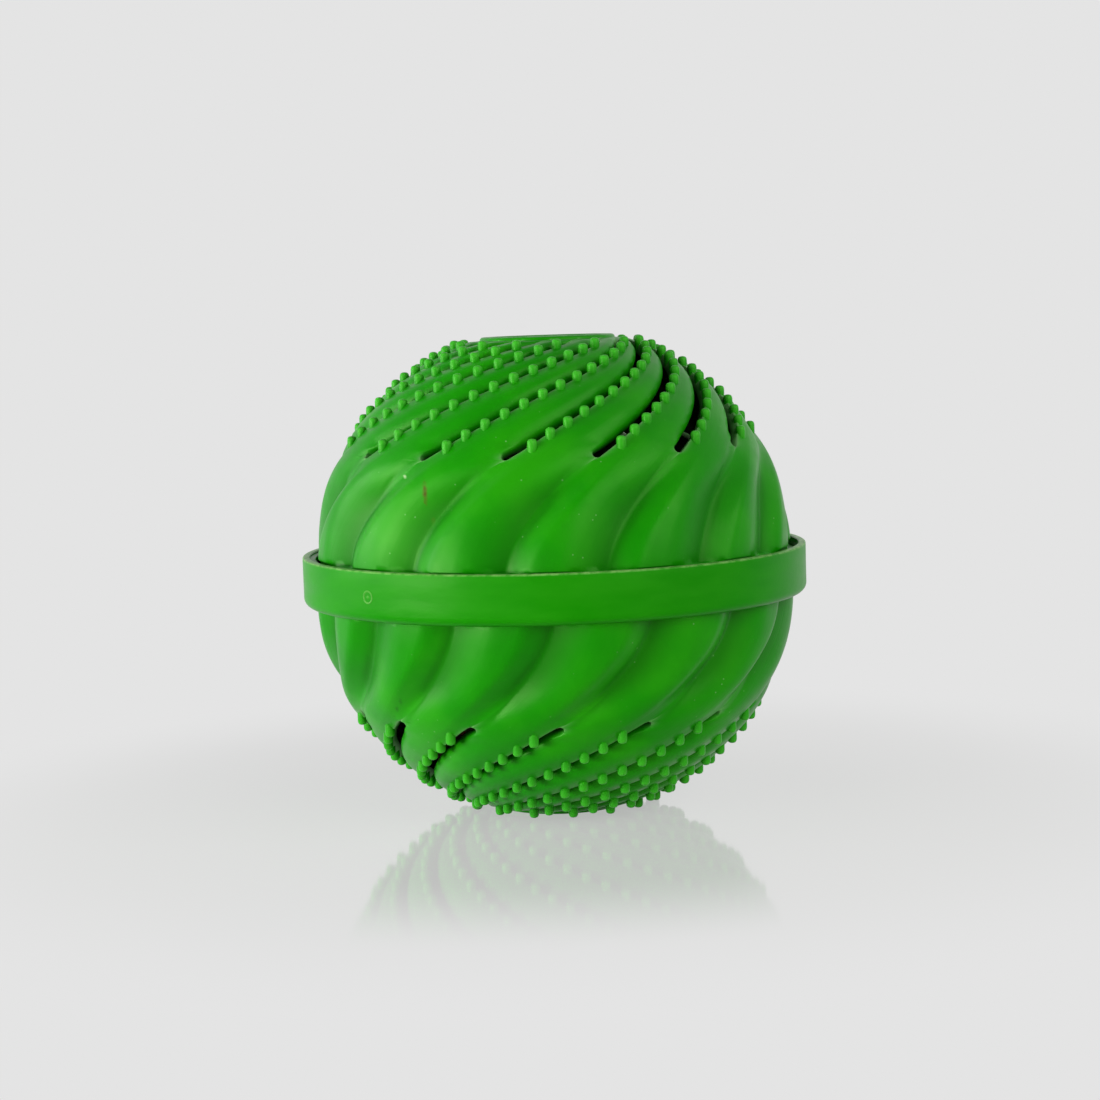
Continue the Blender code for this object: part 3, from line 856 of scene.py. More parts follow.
    def angles(self) -> tuple[Array, Array]:
        """The rows' polar angles from the pole disc's foot to the rim, closest at the slots' ends.

        Returns:
            The angles, and whether each row crosses the open slots.
        """
        low, top = self.low_centre, self.slot_top
        low_step = self.slot_width / 2 / float(self.crest_radius(low))
        pitch = tau / self.lobes * self.pole_crest * sin(top) / np.hypot(1.0, self.path.slot_rate)
        top_step = self.most_slot_share * pitch / 2 / self.pole_crest
        quarter = np.sin(np.linspace(0, tau / 4, self.round_rows))
        above = np.linspace(np.arctan2(*self.disc_foot), top - top_step, 5)[:-1]
        top_end = top + top_step * np.concatenate([-quarter[::-1], self.end_rows])
        low_end = low + low_step * np.concatenate([-self.end_rows[::-1], quarter])
        straight = np.linspace(top_end[-1], low_end[0], self.slot_rows)[1:-1]
        share = np.linspace(0, 1, self.groove_rows)[1:] ** self.groove_bunching
        groove = low_end[-1] + (self.path.rim_angle - low_end[-1]) * share
        angles = np.concatenate([above, top_end, straight, low_end, groove])
        opened = (angles > top_end[0] + 1e-9) & (angles < low_end[-1] - 1e-9)
        return angles, opened

    def skin(self) -> Surface:
        """The wall, inside and out: disc, lobes with their open slots, grooves, rim and skirt.

        Formula: a point at polar angle t and azimuth a lies at (crest - depth) times
        (sin t cos a, sin t sin a, cos t). The inner wall is the outer one drawn in by the wall's thickness.
        """
        angle, opened = self.angles()
        rows = self.rows(angle)
        out = self.columns(rows)
        across = rows.right + out * rows.stretch
        # Painted shade: the deeper a point lies below the crests, the darker its colour.
        trailing = self.sides(rows, across - rows.pitch) / self.hollow_shade_depth
        leading = self.sides(rows, across) / self.hollow_shade_depth
        hollow = np.clip(trailing**self.trail_shade_power + leading**self.lead_shade_power, 0, 1)
        # Painted highlight: the lip mask pales a thin band along both lips, fading past the slot's end.
        past = (rows.angle - self.slot_tip) * self.pole_crest
        lip = np.exp(-out / self.lip_highlight_reach) * np.exp(-((np.maximum(past, 0) / self.lead_highlight_end) ** 2))
        lip = lip + np.exp(-(rows.body - out) / self.lip_highlight_reach) * np.exp(-((past / self.tip_highlight_reach) ** 2))

        ease = smoothstep((rows.angle - angle[0]) / (self.slot_top - angle[0]))
        radius = mix(np.hypot(*self.disc_foot), rows.crest - self.depth(rows, across), ease)
        around = self.path.azimuth(rows.angle) + across / (rows.crest * np.sin(rows.angle))
        spun = around[None] + np.arange(self.lobes)[:, None, None] * tau / self.lobes
        swirl = turned(radius * np.sin(rows.angle), spun, radius * np.cos(rows.angle))
        disc = self.disc_points(spun[:, :1])
        skirt = self.skirt_points(float(radius[-1].max()), swirl[:, -1:], spun[:, -1:])
        more = (disc.shape[1], skirt.shape[1])
        shares = {name: np.pad(mask, (more, (0, 0))) for name, mask in (("lip", lip), ("hollow", hollow))}
        lane = np.pad(across / rows.pitch, (more, (0, 0)), "edge")
        run = np.pad((rows.angle - angle[0]) * rows.crest / MM * rows.stretch, (more, (0, 0)), "edge")
        outer = np.concatenate([disc, swirl, skirt], axis=1)
        return self.walls(outer, np.pad(opened, more), shares, lane, run)

    def disc_rows(self) -> Section:
        """Radius and height of the rings of the pole disc: a flat rim round a shallow floor with two rings.

        Formula: the floor lies lower than the rim, and each ring on it rises as a half wave. Between the two
        rings, disc_points raises short ribs. The rim's edge has radii and drops below the top.
        """
        top, floor = HALF_HEIGHT, HALF_HEIGHT - self.disc_sink
        half, rise = self.disc_ring_half, self.disc_ring_rise
        inner = [(half, floor)]
        for ring in self.disc_rings:
            for share in (-1.0, -0.5, 0.0, 0.5, 1.0):
                inner.append((ring + share * half, floor + rise * cos(share * tau / 4)))
            if ring < self.disc_rib_radius:
                inner += [(r * MM, floor) for r in self.disc_floor_mm]
        rim = [(self.disc_rim_foot, floor), *[(r * MM, top - drop * MM) for r, drop in self.disc_rim_mm]]
        edge = arc_points((self.disc_radius, top - self.disc_step), self.disc_step, 90, 0, 4)
        return [*inner, *rim, *edge[:-1]]

    def disc_points(self, around: Array) -> Array:
        """Points of the disc's rings at the azimuths of the first swirl row, lobe by lobe.

        Formula: between the two raised rings the height rises by the positive half of a cosine wave of the
        azimuth, which makes the ribs.
        """
        radii, heights = np.array(self.disc_rows()).T[:, None, :, None]
        ribs = np.maximum(np.cos(around * self.disc_ribs), 0) * self.disc_rib_height
        heights = heights + ribs * (np.abs(radii - self.disc_rib_radius) < self.disc_rib_reach)
        return turned(radii, around, heights)

    def skirt_points(self, rim: float, last: Array, around: Array) -> Array:
        """Points of the rows below the swirl, lobe by lobe.

        Formula: a row has gone a share of the way from the last swirl row's own radii to the skirt's.

        Args:
            rim: the last swirl row's greatest distance from the centre.
            last: the points of that row.
            around: their azimuths.
        """
        start, low = rim * cos(self.path.rim_angle), self.skirt_top
        rows = ((0.5, mix(start, low, 0.45)), (0.9, mix(start, low, 0.85)), (1.0, low - 0.3 * MM))
        rows += ((1.0, 1.5 * MM), (1.0, self.skirt_foot))
        shares, heights = np.array(rows).T[:, None, :, None]
        lobed = np.hypot(last[..., 0], last[..., 1])
        return turned(mix(lobed, self.skirt_radius, shares), around, heights)

    def walls(
        self, outer: Array, opened: npt.NDArray[np.bool_], shares: dict[str, Array], lane: Array, run: Array
    ) -> Surface:
        """Closes the outer skin with its inner skin, the slots' side walls, the pole and the skirt's edge.

        Args:
            outer: points of the outer skin by lobe, row and column.
            opened: whether a row crosses the open slots.
            shares: for each mask of the finish, its value at each point of a lobe.
            lane: how far across its lobe each point lies, as a share of the pitch.
            run: how far down the path each row lies, in millimetres.
        """
        lobes, count, across = outer.shape[:3]
        inner = outer * (1 - self.wall / np.linalg.norm(outer, axis=-1, keepdims=True))
        own = numbers(outer)
        size = own.size
        index = own.copy()
        index[:, ~opened, -1] = np.roll(index[:, ~opened, 0], -1, axis=0)
        inside = index + size
        kept = np.arange(0, across, self.inner_column_step)
        uv = np.stack(np.broadcast_arrays(lane + np.arange(lobes)[:, None, None], run), axis=-1)
        groups = [grid_faces(index), grid_faces(inside[:, :, kept])[:, ::-1]]
        crossed = opened[:-1] | opened[1:]
        # The corners' order turns the faces of the walls on both of a lobe's sides towards the slots.
        for column, order in ((0, [0, 3, 2, 1]), (-1, [1, 2, 3, 0])):
            rims = np.stack([index[:, :, column], inside[:, :, column]], axis=-1)
            strip = grid_faces(rims).reshape(lobes, count - 1, 4)[:, crossed]
            groups.append(strip.reshape(-1, 4)[:, order])
        for start, end in zip(kept[:-1], kept[1:]):
            edge = index[:, -1, start : end + 1][:, ::-1]
            groups.append(np.concatenate([edge, inside[:, -1, [start, end]]], axis=1))
        groups.append(fan(2 * size, index[:, 0, :-1].ravel()))
        groups.append(fan(2 * size + 1, inside[:, 0, kept[:-1]].ravel()[::-1]))
        poles = np.array([[0.0, 0.0, outer[0, 0, 0, 2]], [0.0, 0.0, inner[0, 0, 0, 2]]])
        points = np.concatenate([outer.reshape(-1, 3), inner.reshape(-1, 3), poles])
        # The inner skin gets the inside mask, which paints shade over it.
        masks = {"inside": np.concatenate([np.zeros(size), np.ones(size), [0.0, 1.0]])}
        for name, share in shares.items():
            masks[name] = np.append(np.tile(share.ravel(), lobes), np.zeros(size + 2))
        return Surface(points, groups, [uv.reshape(-1, 2)[grid_faces(own)]], masks).trimmed()

    def pin_angles(self) -> Array:
        """The polar angles of a row's feet, evenly spaced along the path from the slot's end up."""
        angles = [self.pin_first]
        for _ in range(self.pins_per_row - 1):
            run = float(self.crest_radius(angles[-1])) * np.hypot(1.0, self.path.slot_rate)
            angles.append(angles[-1] - self.pin_pitch / run)
        return np.array(angles)

    def skin_under(self, x: Array, y: Array, lobe: Array) -> tuple[Array, Array]:
        """The height of the shell's skin over points of the equator's plane, near given lobes.

        Formula: the height that the crests' dome has there gives the polar angle, the angle and azimuth give
        the depth, and the height is that of a sphere that much smaller. Over a slot, it is its lip's.

        Returns:
            The heights, and how far each point lies from the leading lip, square to the row.
        """
        away = np.hypot(x, y)
        angle = np.arctan2(away, np.sqrt(np.maximum(self.pole_crest**2 - away**2, 0)))
        order = np.argsort(angle.ravel())
        rows = self.rows(angle.ravel()[order])
        around = np.arctan2(y, x).ravel()[order] - self.path.azimuth(rows.angle[:, 0])
        around = around - lobe.ravel()[order] * tau / self.lobes
        around = (around + tau / 2) % tau - tau / 2
        across = (around * rows.crest[:, 0] * np.sin(rows.angle[:, 0]))[:, None]
        depth = self.depth(rows, np.maximum(across, rows.right))
        found = np.empty((2, angle.size))
        radius = (rows.crest - depth)[:, 0]
        found[0, order] = np.sqrt(np.maximum(radius**2 - away.ravel()[order] ** 2, 0))
        found[1, order] = ((across - rows.right) / rows.stretch)[:, 0]
        return found[0].reshape(angle.shape), found[1].reshape(angle.shape)

    def pins(self) -> Surface:
        """All pins of the half: upright barrels with domed tips, which stand astride the leading lips.

        Formula: ring k of a pin is a circle of its own radius. The sole follows a smaller sphere, the foot
        and the belly follow the skin's height at each point and stay below the shoulder, and the rings of
        the tip lie at set distances below its top. The foot is drawn in where it stands on the lobe. In
        pin_foot a ring has the share that it is drawn in by, its lift off the skin, and the least that it
        stays below the shoulder.
        """
        number = np.repeat(np.arange(self.pins_per_row), self.lobes)
        angle = self.pin_angles()[number]
        lobe = np.tile(np.arange(self.lobes), self.pins_per_row)
        crest = self.crest_radius(angle)
        away = crest * np.sin(angle)
        stretch = np.hypot(1.0, self.path.rate(angle))
        azimuth = self.path.azimuth(angle) + lobe * tau / self.lobes + self.pin_offset * stretch / away
        x, y = away * np.cos(azimuth), away * np.sin(azimuth)
        rise = mix(self.pin_first_rise, self.pin_last_rise, number / (self.pins_per_row - 1))
        tip = np.sqrt((crest + rise) ** 2 - away**2)[:, None]
        turn = np.arange(self.pin_sides) * tau / self.pin_sides
        lobes = np.repeat(lobe[:, None], self.pin_sides, axis=1)

        def ring(factor: Array | float) -> tuple[Array, Array]:
            """The circle of every pin, at a share of its radius."""
            radius = self.pin_radius * factor
            return x[:, None] + radius * np.cos(turn), y[:, None] + radius * np.sin(turn)

        px, py = ring(1.0)
        skin, out = self.skin_under(px, py, lobes)
        shoulder = tip - self.pin_dome[0][1]
        free = smoothstep((shoulder - skin) / self.pin_clear) * smoothstep(out / self.pin_free_lip)
        sole = np.sqrt((crest[:, None] - self.pin_sink) ** 2 - px**2 - py**2)
        rings = [np.stack([px, py, np.minimum(sole, shoulder - self.pin_clear)], axis=-1)]
        for waist, lift, clear in self.pin_foot:
            px, py = ring(1 - waist * free)
            skin, _ = self.skin_under(px, py, lobes)
            rings.append(np.stack([px, py, np.minimum(skin + lift, shoulder - clear)], axis=-1))
        for factor, drop in self.pin_dome:
            px, py = ring(factor)
            rings.append(np.stack([px, py, np.broadcast_to(tip - drop, px.shape)], axis=-1))
        grid = np.stack(rings[::-1], axis=1)
        index = numbers(grid)
        fans = np.concatenate([fan(index.size + pin, own[0]) for pin, own in enumerate(index)])
        # The paler tips are painted: partly scuffs, partly a painted highlight.
        rise = np.broadcast_to(np.array(self.pin_ring_wear_and_sheen)[None, ::-1, None], index.shape).ravel()
        points = np.concatenate([grid.reshape(-1, 3), np.stack([x, y, tip[:, 0]], axis=-1)])
        masks = {"pin_rise": np.append(rise, np.ones(len(index)))}
        return Surface(points, [grid_faces(wrap(index, 2)), fans, index[:, -1, ::-1]], masks=masks)

    def pocket_wall(self) -> Surface:
        """The round wall behind the pole disc that holds the magnet."""
        inner, outer = 10.3 * MM, 12.1 * MM
        mouth, root = 43.7 * MM, HALF_HEIGHT - self.wall + 0.3 * MM
        soft = 0.25 * MM
        profile = [(inner, root), (outer, root)]
        profile += arc_points((outer - soft, mouth + soft), soft, 0, -90, 3)
        profile += arc_points((inner + soft, mouth + soft), soft, -90, -180, 3)
        return revolve(profile, 72)

    def lugs(self) -> list[Surface]:
        """The bayonet lugs round the skirt, each a rounded bar along an arc with closed ends."""
        inner, outer = self.skirt_radius - 0.5 * MM, 53.1 * MM
        low, high, soft = 1.2 * MM, 3.4 * MM, 0.35 * MM
        section = [(inner, high), *arc_points((outer - soft, high - soft), soft, 90, 0, 3)]
        section += [*arc_points((outer - soft, low + soft), soft, 0, -90, 3), (inner, low)]
        radii, heights = np.array(section).T[:, :, None]
        taper = np.ones(self.lug_steps + 1)
        taper[[0, -1]] = self.lug_taper
        lugs = []
        for number in range(self.lug_count):
            turn = number * tau / self.lug_count + np.linspace(-0.5, 0.5, self.lug_steps + 1) * self.lug_arc
            points = turned(inner + (radii - inner) * taper, turn, heights)
            index = numbers(points)
            faces = [grid_faces(wrap(index, 0)), index[::-1, 0][None], index[:, -1][None]]
            lugs.append(Surface(points.reshape(-1, 3), faces))
        return lugs

    def build(self, side: Side, material: bpy.types.Material) -> None:
        """Makes the half's moulding and gives it to its body."""
        surface = self.skin()
        for more in (self.pins(), self.pocket_wall(), *self.lugs()):
            surface.add(more)
        mesh = surface.mesh(f"{side.value}_moulding", side)
        piece = make_piece(f"{side.value}_swirl_shell", mesh, material)
        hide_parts(f"{side.value}_shell")
        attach(piece, side.body)


@dataclass
class ClosingBand:
    """The ring round the equator: flat face, rounded foot, lip turned in, lugs inside and their stops."""

    outer: float = 55.0 * MM
    bore: float = 53.4 * MM
    lip_inner: float = 52.1 * MM
    half_height: float = 5.3 * MM
    top_round: float = 0.35 * MM
    foot_round: float = 1.8 * MM
    soft: float = 0.2 * MM
    lip_thickness: float = 1.6 * MM
    lug_count: int = 5
    lug_arc: float = radians(30.0)
    lug_low: float = 3.7 * MM
    lug_high: float = 4.8 * MM
    lug_reach: float = 1.3 * MM
    stop_arc: float = radians(2.0)
    stop_gap: float = radians(0.35)
    stop_low: float = 1.2 * MM
    stop_high: float = 4.4 * MM
    stop_reach: float = 1.2 * MM
    end_ease: float = radians(0.45)
    steps: int = 300
    gate_azimuth: float = radians(-134.2)
    gate_sides: int = 28
    gate_size: float = 1.45
    gate_profile: tuple[tuple[float, float, float], ...] = (
        (0.0, 0.05, 0.2),
        (0.2, 0.04, 0.12),
        (0.32, -0.05, 0.12),
        (0.68, -0.05, 0.3),
        (0.78, 0.07, 0.3),
        (0.9, 0.08, 0.3),
        (1.02, -0.05, 0.3),
        (0.0, -0.3, 0.0),
    )

    def section(self) -> Array:
        """The section, down the outside from the top and up the bore.

        Returns:
            For each point its radius, its height, and how far a lug and a stop draw it in.
        """
        top, low, lip = self.half_height, -self.half_height, self.lip_inner
        edge, foot, soft = self.top_round, self.foot_round, self.soft
        lip_top = low + self.lip_thickness
        plain = arc_points((self.outer - edge, top - edge), edge, 90, 0, 4)
        plain += [(self.outer, z * MM) for z in (2.5, 0.0, -2.0)]
        plain += arc_points((self.outer - foot, low + foot), foot, 0, -90, 8)
        plain += [(lip + soft, low), (lip, low + soft), (lip, lip_top - soft), (lip + soft, lip_top)]
        plain.append((self.bore - soft, lip_top))
        bored = (
            (lip_top + soft, 0.0, 0.0),
            (self.stop_low - soft, 0.0, 0.0),
            (self.stop_low + 0.02 * MM, 0.0, 0.85),
            (self.stop_low + soft, 0.0, 1.0),
            (self.lug_low - soft, 0.0, 1.0),
            (self.lug_low - 0.02 * MM, 0.0, 1.0),
            (self.lug_low + 0.02 * MM, 0.9, 1.0),
            (self.lug_low + soft, 1.0, 1.0),
            (self.stop_high, 1.0, 1.0),
            (self.lug_high - soft, 1.0, 0.0),
            (self.lug_high - 0.04 * MM, 0.9, 0.0),
            (self.lug_high + 0.04 * MM, 0.0, 0.0),
            (top - soft, 0.0, 0.0),
        )
        points = [(r, z, 0.0, 0.0) for r, z in plain] + [(self.bore, *row) for row in bored]
        return np.array([*points, (self.bore + soft, top, 0.0, 0.0)])

    def body(self) -> Surface:
        """The ring with its lugs and stops, as one surface.

        Formula: (r, z) of the section goes to (r cos a, r sin a, z), where r is drawn in by the lug's reach
        times the lug's mask at a, or by the stop's. A mask eases from 0 to 1 over a short arc at each end.
        """
        stop_end = (np.arange(self.lug_count) + 0.5) * tau / self.lug_count - self.lug_arc / 2 - self.stop_gap
        lug_start = stop_end - self.stop_arc / 2
        lug_end = stop_end + self.stop_gap + self.lug_arc
        ease = np.linspace(0, self.end_ease, 4)
        turns = [np.arange(self.steps) * tau / self.steps]
        for start, end in ((lug_start, lug_end), (stop_end - self.stop_arc, stop_end)):
            turns += [(start[:, None] + ease).ravel(), (end[:, None] - ease).ravel()]
        turn = np.unique(np.round(np.concatenate(turns) % tau, 6))

        def mask(starts: Array, ends: Array) -> Array:
            """Where the arcs are, eased at their ends."""
            into = (turn[:, None] - starts) / self.end_ease
            out = (ends - turn[:, None]) / self.end_ease
            return (smoothstep(into) * smoothstep(out)).max(axis=1)

        lug, stop = mask(lug_start, lug_end), mask(stop_end - self.stop_arc, stop_end)
        radius, height, by_lug, by_stop = self.section().T[:, :, None]
        radius = radius - np.maximum(by_lug * lug * self.lug_reach, by_stop * stop * self.stop_reach)
        points = turned(radius, turn, height)
        return Surface(points.reshape(-1, 3), [grid_faces(wrap(wrap(numbers(points), 0), 1))])

    def gate_mark(self) -> Surface:
        """The mark that the mould's gate leaves on the face: a low ring round a low pip.

        Formula: a turned shape about the face's own outward direction. Its profile has the radius as a
        share of the mark's size, the height in millimetres, and how pale the wear has made it.
        """
        profile = [(r * self.gate_size * MM, h * MM) for r, h, _ in self.gate_profile]
        bump = revolve(profile, self.gate_sides)
        tip, *ringed, root = [wear for _, _, wear in self.gate_profile]
        bump.masks["gate"] = np.append(np.repeat(ringed, self.gate_sides), [tip, root])
        outward = np.array([cos(self.gate_azimuth), sin(self.gate_azimuth), 0.0])
        sideways = np.array([-outward[1], outward[0], 0.0])
        axes = np.stack([sideways, [0.0, 0.0, 1.0], outward])
        bump.points = bump.points @ axes + outward * self.outer
        return bump

    def build(self, material: bpy.types.Material) -> None:
        """Makes the band and gives it to its body."""
        surface = self.body()
        surface.add(self.gate_mark())
        surface.points = surface.points + np.array([0.0, 0.0, HALF_HEIGHT])
        piece = make_piece("bayonet_band", surface.mesh("band_moulding"), material)
        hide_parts("closing_band")
        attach(piece, "closing_band")


@dataclass
class MagnetPocket:
    """What the pocket behind a pole disc holds: the disc magnet, and the cap that keeps it in."""

    magnet_radius: float = 10.0 * MM
    magnet_top: float = 49.2 * MM
    magnet_thickness: float = 4.0 * MM
    magnet_edge: float = 0.3 * MM
    spigot_radius: float = 10.0 * MM
    spigot_top: float = 44.6 * MM
    cap_radius: float = 12.1 * MM
    cap_seat: float = 43.4 * MM
    cap_low: float = 42.2 * MM
    cap_edge: float = 0.3 * MM
    dimple_radius: float = 2.0 * MM
    dimple_depth: float = 0.4 * MM
    steps: int = 72

    def magnet(self) -> Surface:
        """The magnet: a disc with rounded edges."""
        edge, low = self.magnet_edge, self.magnet_top - self.magnet_thickness
        profile = [(0.0, self.magnet_top)]
        profile += arc_points((self.magnet_radius - edge, self.magnet_top - edge), edge, 90, 0, 4)
        profile += arc_points((self.magnet_radius - edge, low + edge), edge, 0, -90, 4)
        return revolve([*profile, (0.0, low)], self.steps)

    def cap(self) -> Surface:
        """The cap: a lid on the pocket's mouth with a spigot in it, and the gate's dimple in its middle."""
        edge, low = self.cap_edge, self.cap_low
        profile = [(0.0, self.spigot_top)]
        profile += arc_points((self.spigot_radius - edge, self.spigot_top - edge), edge, 90, 0, 3)
        profile += [(self.spigot_radius, self.cap_seat), (self.cap_radius - 0.1 * MM, self.cap_seat)]
        profile += arc_points((self.cap_radius - edge, low + edge), edge, 0, -90, 4)
        profile += [(self.dimple_radius, low), (self.dimple_radius - 0.5 * MM, low + self.dimple_depth)]
        return revolve([*profile, (0.0, low + self.dimple_depth)], self.steps)

    def build(self, side: Side, metal: bpy.types.Material, plastic: bpy.types.Material) -> None:
        """Makes both pieces of one half."""
        pieces = (
            (self.magnet(), "disc_magnet", "magnet", metal, "magnet_plating"),
            (self.cap(), "pocket_cap", "magnet_cap", plastic, "shell_plastic"),
        )
        for surface, name, node, material, slot in pieces:
            mesh = surface.mesh(f"{side.value}_{name}", side)
            piece = make_piece(f"{side.value}_{name}", mesh, material)
            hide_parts(f"{side.value}_{node}")
            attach(piece, side.body)


@dataclass
class BeadBed:
    """The loose ceramic beads in the lower half, each rolled by hand and so a little out of round."""

    radius: float = 4.0 * MM
    uneven: float = 0.05 * MM
    rings: int = 16
    sides: int = 26
    seed: int = 7

    def bead(self, middle: Vector, rng: np.random.Generator) -> Surface:
        """One bead.

        Formula: the radius at polar angle t and azimuth a is the bead's, less a small share that three slow
        waves of t and a add up to.
        """
        t = np.linspace(0, tau / 2, self.rings + 1)[1:-1, None]
        a = np.arange(self.sides) * tau / self.sides
        phase = rng.uniform(0, tau, 3)
        waves = np.sin(2 * a + phase[0]) * np.sin(t) + np.sin(3 * t + phase[1])
        waves = waves + np.sin(3 * a + 2 * t + phase[2]) * np.sin(t)
        radius = self.radius - self.uneven * (1 + waves / 3)
        pole = self.radius - self.uneven
        bead = capped(turned(radius * np.sin(t), a, radius * np.cos(t)), pole, -pole)
        bead.points = bead.points + np.array(middle)
        return bead

    def build(self, clays: Sequence[FiredClay]) -> None:
        """Makes every bead where its solid lies."""
        rng = np.random.default_rng(self.seed)
        materials = {clay.kind: clay.build() for clay in clays}
        for node in sorted(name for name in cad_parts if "_bead_" in name):
            kind = node.split("_")[0]
            low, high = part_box(node)
            name = node.replace("_bead_", "_ceramic_")
            piece = make_piece(name, self.bead((low + high) / 2, rng).mesh(name), materials[kind])
            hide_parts(node)
            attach(piece, Side.LOWER.body)


@dataclass(frozen=True)
class SoftBox:
    """A lamp with a wide even face, which looks at the ball's centre.

    Its azimuth is 0 behind the camera and grows to the right. It is made twice in one place: one lamp lights
    all but the floor, and its twin lights the floor alone, without a mirror image there.
    """

    name: str
    azimuth: float
    elevation: float
    distance: float
    size: tuple[float, float]
    watts: float

    def build(self, floor: bpy.types.Object) -> None:
        """Makes the lamp and its twin at their place."""
        data = bpy.data.lights.new(self.name, "AREA")
        data.shape = "RECTANGLE"
        data.size, data.size_y = self.size
        data.energy = self.watts
        level = cos(self.elevation)
        toward = Vector((level * sin(self.azimuth), -level * cos(self.azimuth), sin(self.elevation)))
        place = toward * self.distance + Vector((0, 0, HALF_HEIGHT))
        turn = toward.to_track_quat("Z", "Y").to_matrix().to_4x4()
        for aim, glossy in (("EXCLUDE", True), ("INCLUDE", False)):
            lamp = bpy.data.objects.new(f"{self.name}_{aim.lower()}", data)
            bpy.context.scene.collection.objects.link(lamp)
            lamp.matrix_world = Matrix.Translation(place) @ turn
            lamp.visible_glossy = glossy
            lit = bpy.data.collections.new(lamp.name)
            lit.objects.link(floor)
            lit.collection_objects[0].light_linking.link_state = aim
            lamp.light_linking.receiver_collection = lit


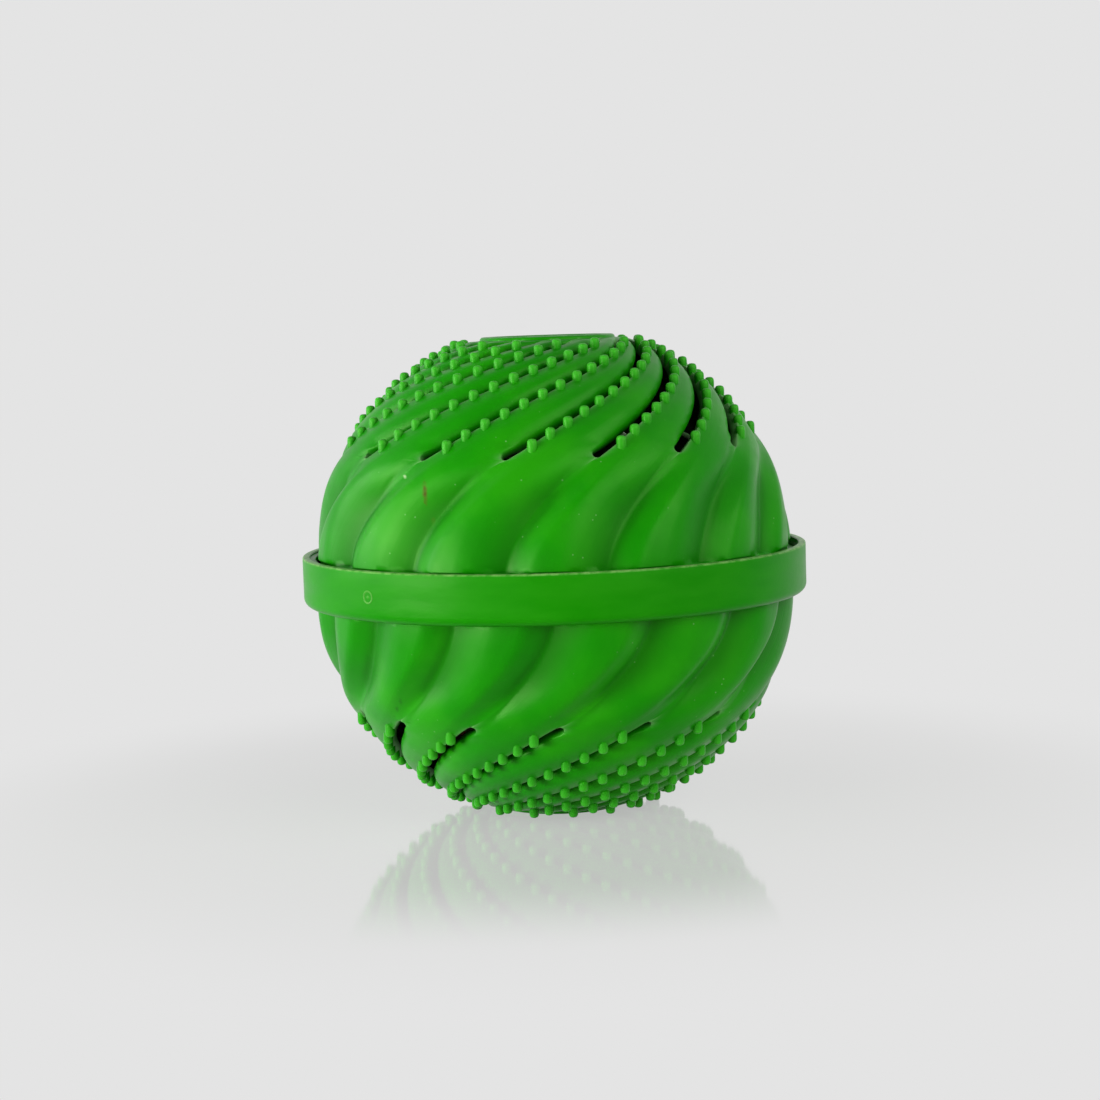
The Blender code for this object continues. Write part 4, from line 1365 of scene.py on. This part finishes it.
@dataclass
class Studio:
    """The plain pale floor and background, the soft lights and the camera.

    The floor's mirror and its fading into the background each go from one distance from the middle to a
    second, and from one share to another.
    """

    distance: float = 0.55
    focal_px: float = 2502.0
    elevation: float = radians(6.15)
    roll: float = radians(-1.85)
    centre_px: tuple[float, float] = (554.7, 570.6)
    sensor_mm: float = 36.0
    backdrop: str = "#E4E4E4"
    floor_colour: str = "#E9EAE4"
    fill: float = 0.05
    floor_side: float = 6.0
    floor_gloss: float = 0.07
    mirror: tuple[float, ...] = (0.075, 0.13, 0.26, 0.0)
    fading: tuple[float, ...] = (0.05, 0.17, 0.76, 1.0)
    boxes: tuple[SoftBox, ...] = (
        SoftBox("left_side", radians(-90), radians(6), 0.85, (0.5, 0.5), 4.4),
        SoftBox("left_front", radians(-58), radians(6), 0.85, (0.4, 0.5), 3.4),
        SoftBox("right_front", radians(46), radians(26), 0.9, (0.9, 0.7), 6.3),
        SoftBox("low_left", radians(-60), radians(0), 0.8, (0.4, 0.09), 2.8),
        SoftBox("low_front", radians(-30), radians(-2), 0.9, (0.6, 0.12), 1.4),
    )

    def camera(self) -> None:
        """The photograph's camera: it looks at the ball's centre from the front, a little from above."""
        data = bpy.data.cameras.new("camera")
        data.sensor_width = self.sensor_mm
        data.lens = self.sensor_mm * self.focal_px / PHOTO_SIDE
        data.shift_x = (PHOTO_SIDE / 2 - self.centre_px[0]) / PHOTO_SIDE
        data.shift_y = (self.centre_px[1] - PHOTO_SIDE / 2) / PHOTO_SIDE
        data.clip_start = 0.01
        camera = bpy.data.objects.new("camera", data)
        bpy.context.scene.collection.objects.link(camera)
        forward = Vector((0, cos(self.elevation), -sin(self.elevation)))
        level = Vector((1, 0, 0))
        upright = level.cross(forward)
        right = level * cos(self.roll) + upright * sin(self.roll)
        up = upright * cos(self.roll) - level * sin(self.roll)
        turn = Matrix((right, up, -forward)).transposed().to_4x4()
        place = Vector((0, 0, HALF_HEIGHT)) - forward * self.distance
        camera.matrix_world = Matrix.Translation(place) @ turn
        bpy.context.scene.camera = camera

    def seen(self, add: NodeAdder) -> Node:
        """1 for what the camera sees, straight, in gloss or through glass, and 0 for light on the object."""
        ray = add("LightPath").outputs
        sharp = add("Math", (ray["Is Camera Ray"], ray["Is Glossy Ray"]), operation="MAXIMUM")
        return add("Math", (sharp, ray["Is Transmission Ray"]), operation="MAXIMUM")

    def world(self) -> None:
        """An even pale background, which lights the object less than it shows."""
        world = bpy.data.worlds.new("studio")
        bpy.context.scene.world = world
        add = node_adder(world)
        strength = add("MapRange", {0: self.seen(add), 3: self.fill, 4: 1.0})
        light = add("Background", {"Color": linear(self.backdrop), "Strength": strength})
        add("OutputWorld", {"Surface": light})

    def floor(self) -> bpy.types.Object:
        """A pale glossy sheet, which mirrors the ball faintly close to it."""
        half = self.floor_side / 2
        mesh = bpy.data.meshes.new("floor")
        corners = [(-half, -half, 0), (half, -half, 0), (half, half, 0), (-half, half, 0)]
        mesh.from_pydata(corners, [], [(0, 1, 2, 3)])
        material = bpy.data.materials.new("white acrylic sheet")
        add = node_adder(material)
        place = add("TexCoord").outputs["Object"]
        away = add("VectorMath", (place,), operation="LENGTH").outputs["Value"]
        mirror, fading = (
            add("MapRange", (away, *ends), interpolation_type="SMOOTHSTEP")
            for ends in (self.mirror, self.fading)
        )
        shown = add("Math", (fading, self.seen(add)), operation="MULTIPLY")
        lit = add("BsdfDiffuse", {"Color": linear(self.floor_colour)})
        plain = add("Emission", {"Color": linear(self.backdrop)})
        matt = add("MixShader", (shown, lit, plain))
        gloss = add("BsdfGlossy", {"Color": (1, 1, 1, 1), "Roughness": self.floor_gloss})
        add("OutputMaterial", {"Surface": add("MixShader", (mirror, matt, gloss))})
        floor = make_piece("floor", mesh, material)
        return floor

    def build(self) -> None:
        """Sets up the camera, background, floor and lights."""
        self.camera()
        self.world()
        floor = self.floor()
        for box in self.boxes:
            box.build(floor)
        bpy.context.scene.view_settings.view_transform = "Standard"


MARKS = (
    Mark((-25.8, -40.2, 21.0), (0.75, 4.0, 3.3), "#4A3206", 0.95),
    Mark((-24.3, -42.7, 15.5), (0.7, 4.0, 1.3), "#3F6A10", 0.5),
    Mark((-30.1, -35.6, 24.1), (0.55, 3.0, 0.55), "#B9D8A0", 0.9),
    Mark((-32.8, -32.3, -22.5), (0.6, 4.0, 1.1), "#084006", 0.9),
    Mark((-33.6, -30.0, -24.2), (0.7, 4.0, 1.3), "#084006", 0.9),
    Mark((-34.4, -27.2, -26.0), (0.6, 4.0, 1.1), "#084006", 0.9),
)
CLAYS = (
    FiredClay("terracotta", "#B4623C", "#7E3A20"),
    FiredClay("ivory", "#DDD3BB", "#B7A888"),
    FiredClay("grey", "#8C8E8D", "#5C5E5E"),
    FiredClay("umber", "#5A4232", "#33251C"),
)


def main() -> None:
    """Builds the ball piece by piece, then the studio round it."""
    logging.basicConfig(level=logging.INFO, format="%(message)s")
    green = MouldedPlastic(marks=MARKS).build()
    shell = SwirlShell()
    pocket = MagnetPocket()
    nickel = NickelPlate().build()
    for side in Side:
        shell.build(side, green)
        pocket.build(side, nickel, green)
    ClosingBand().build(BandPlastic().build())
    BeadBed().build(CLAYS)
    Studio().build()


if __name__ == "__main__":
    main()
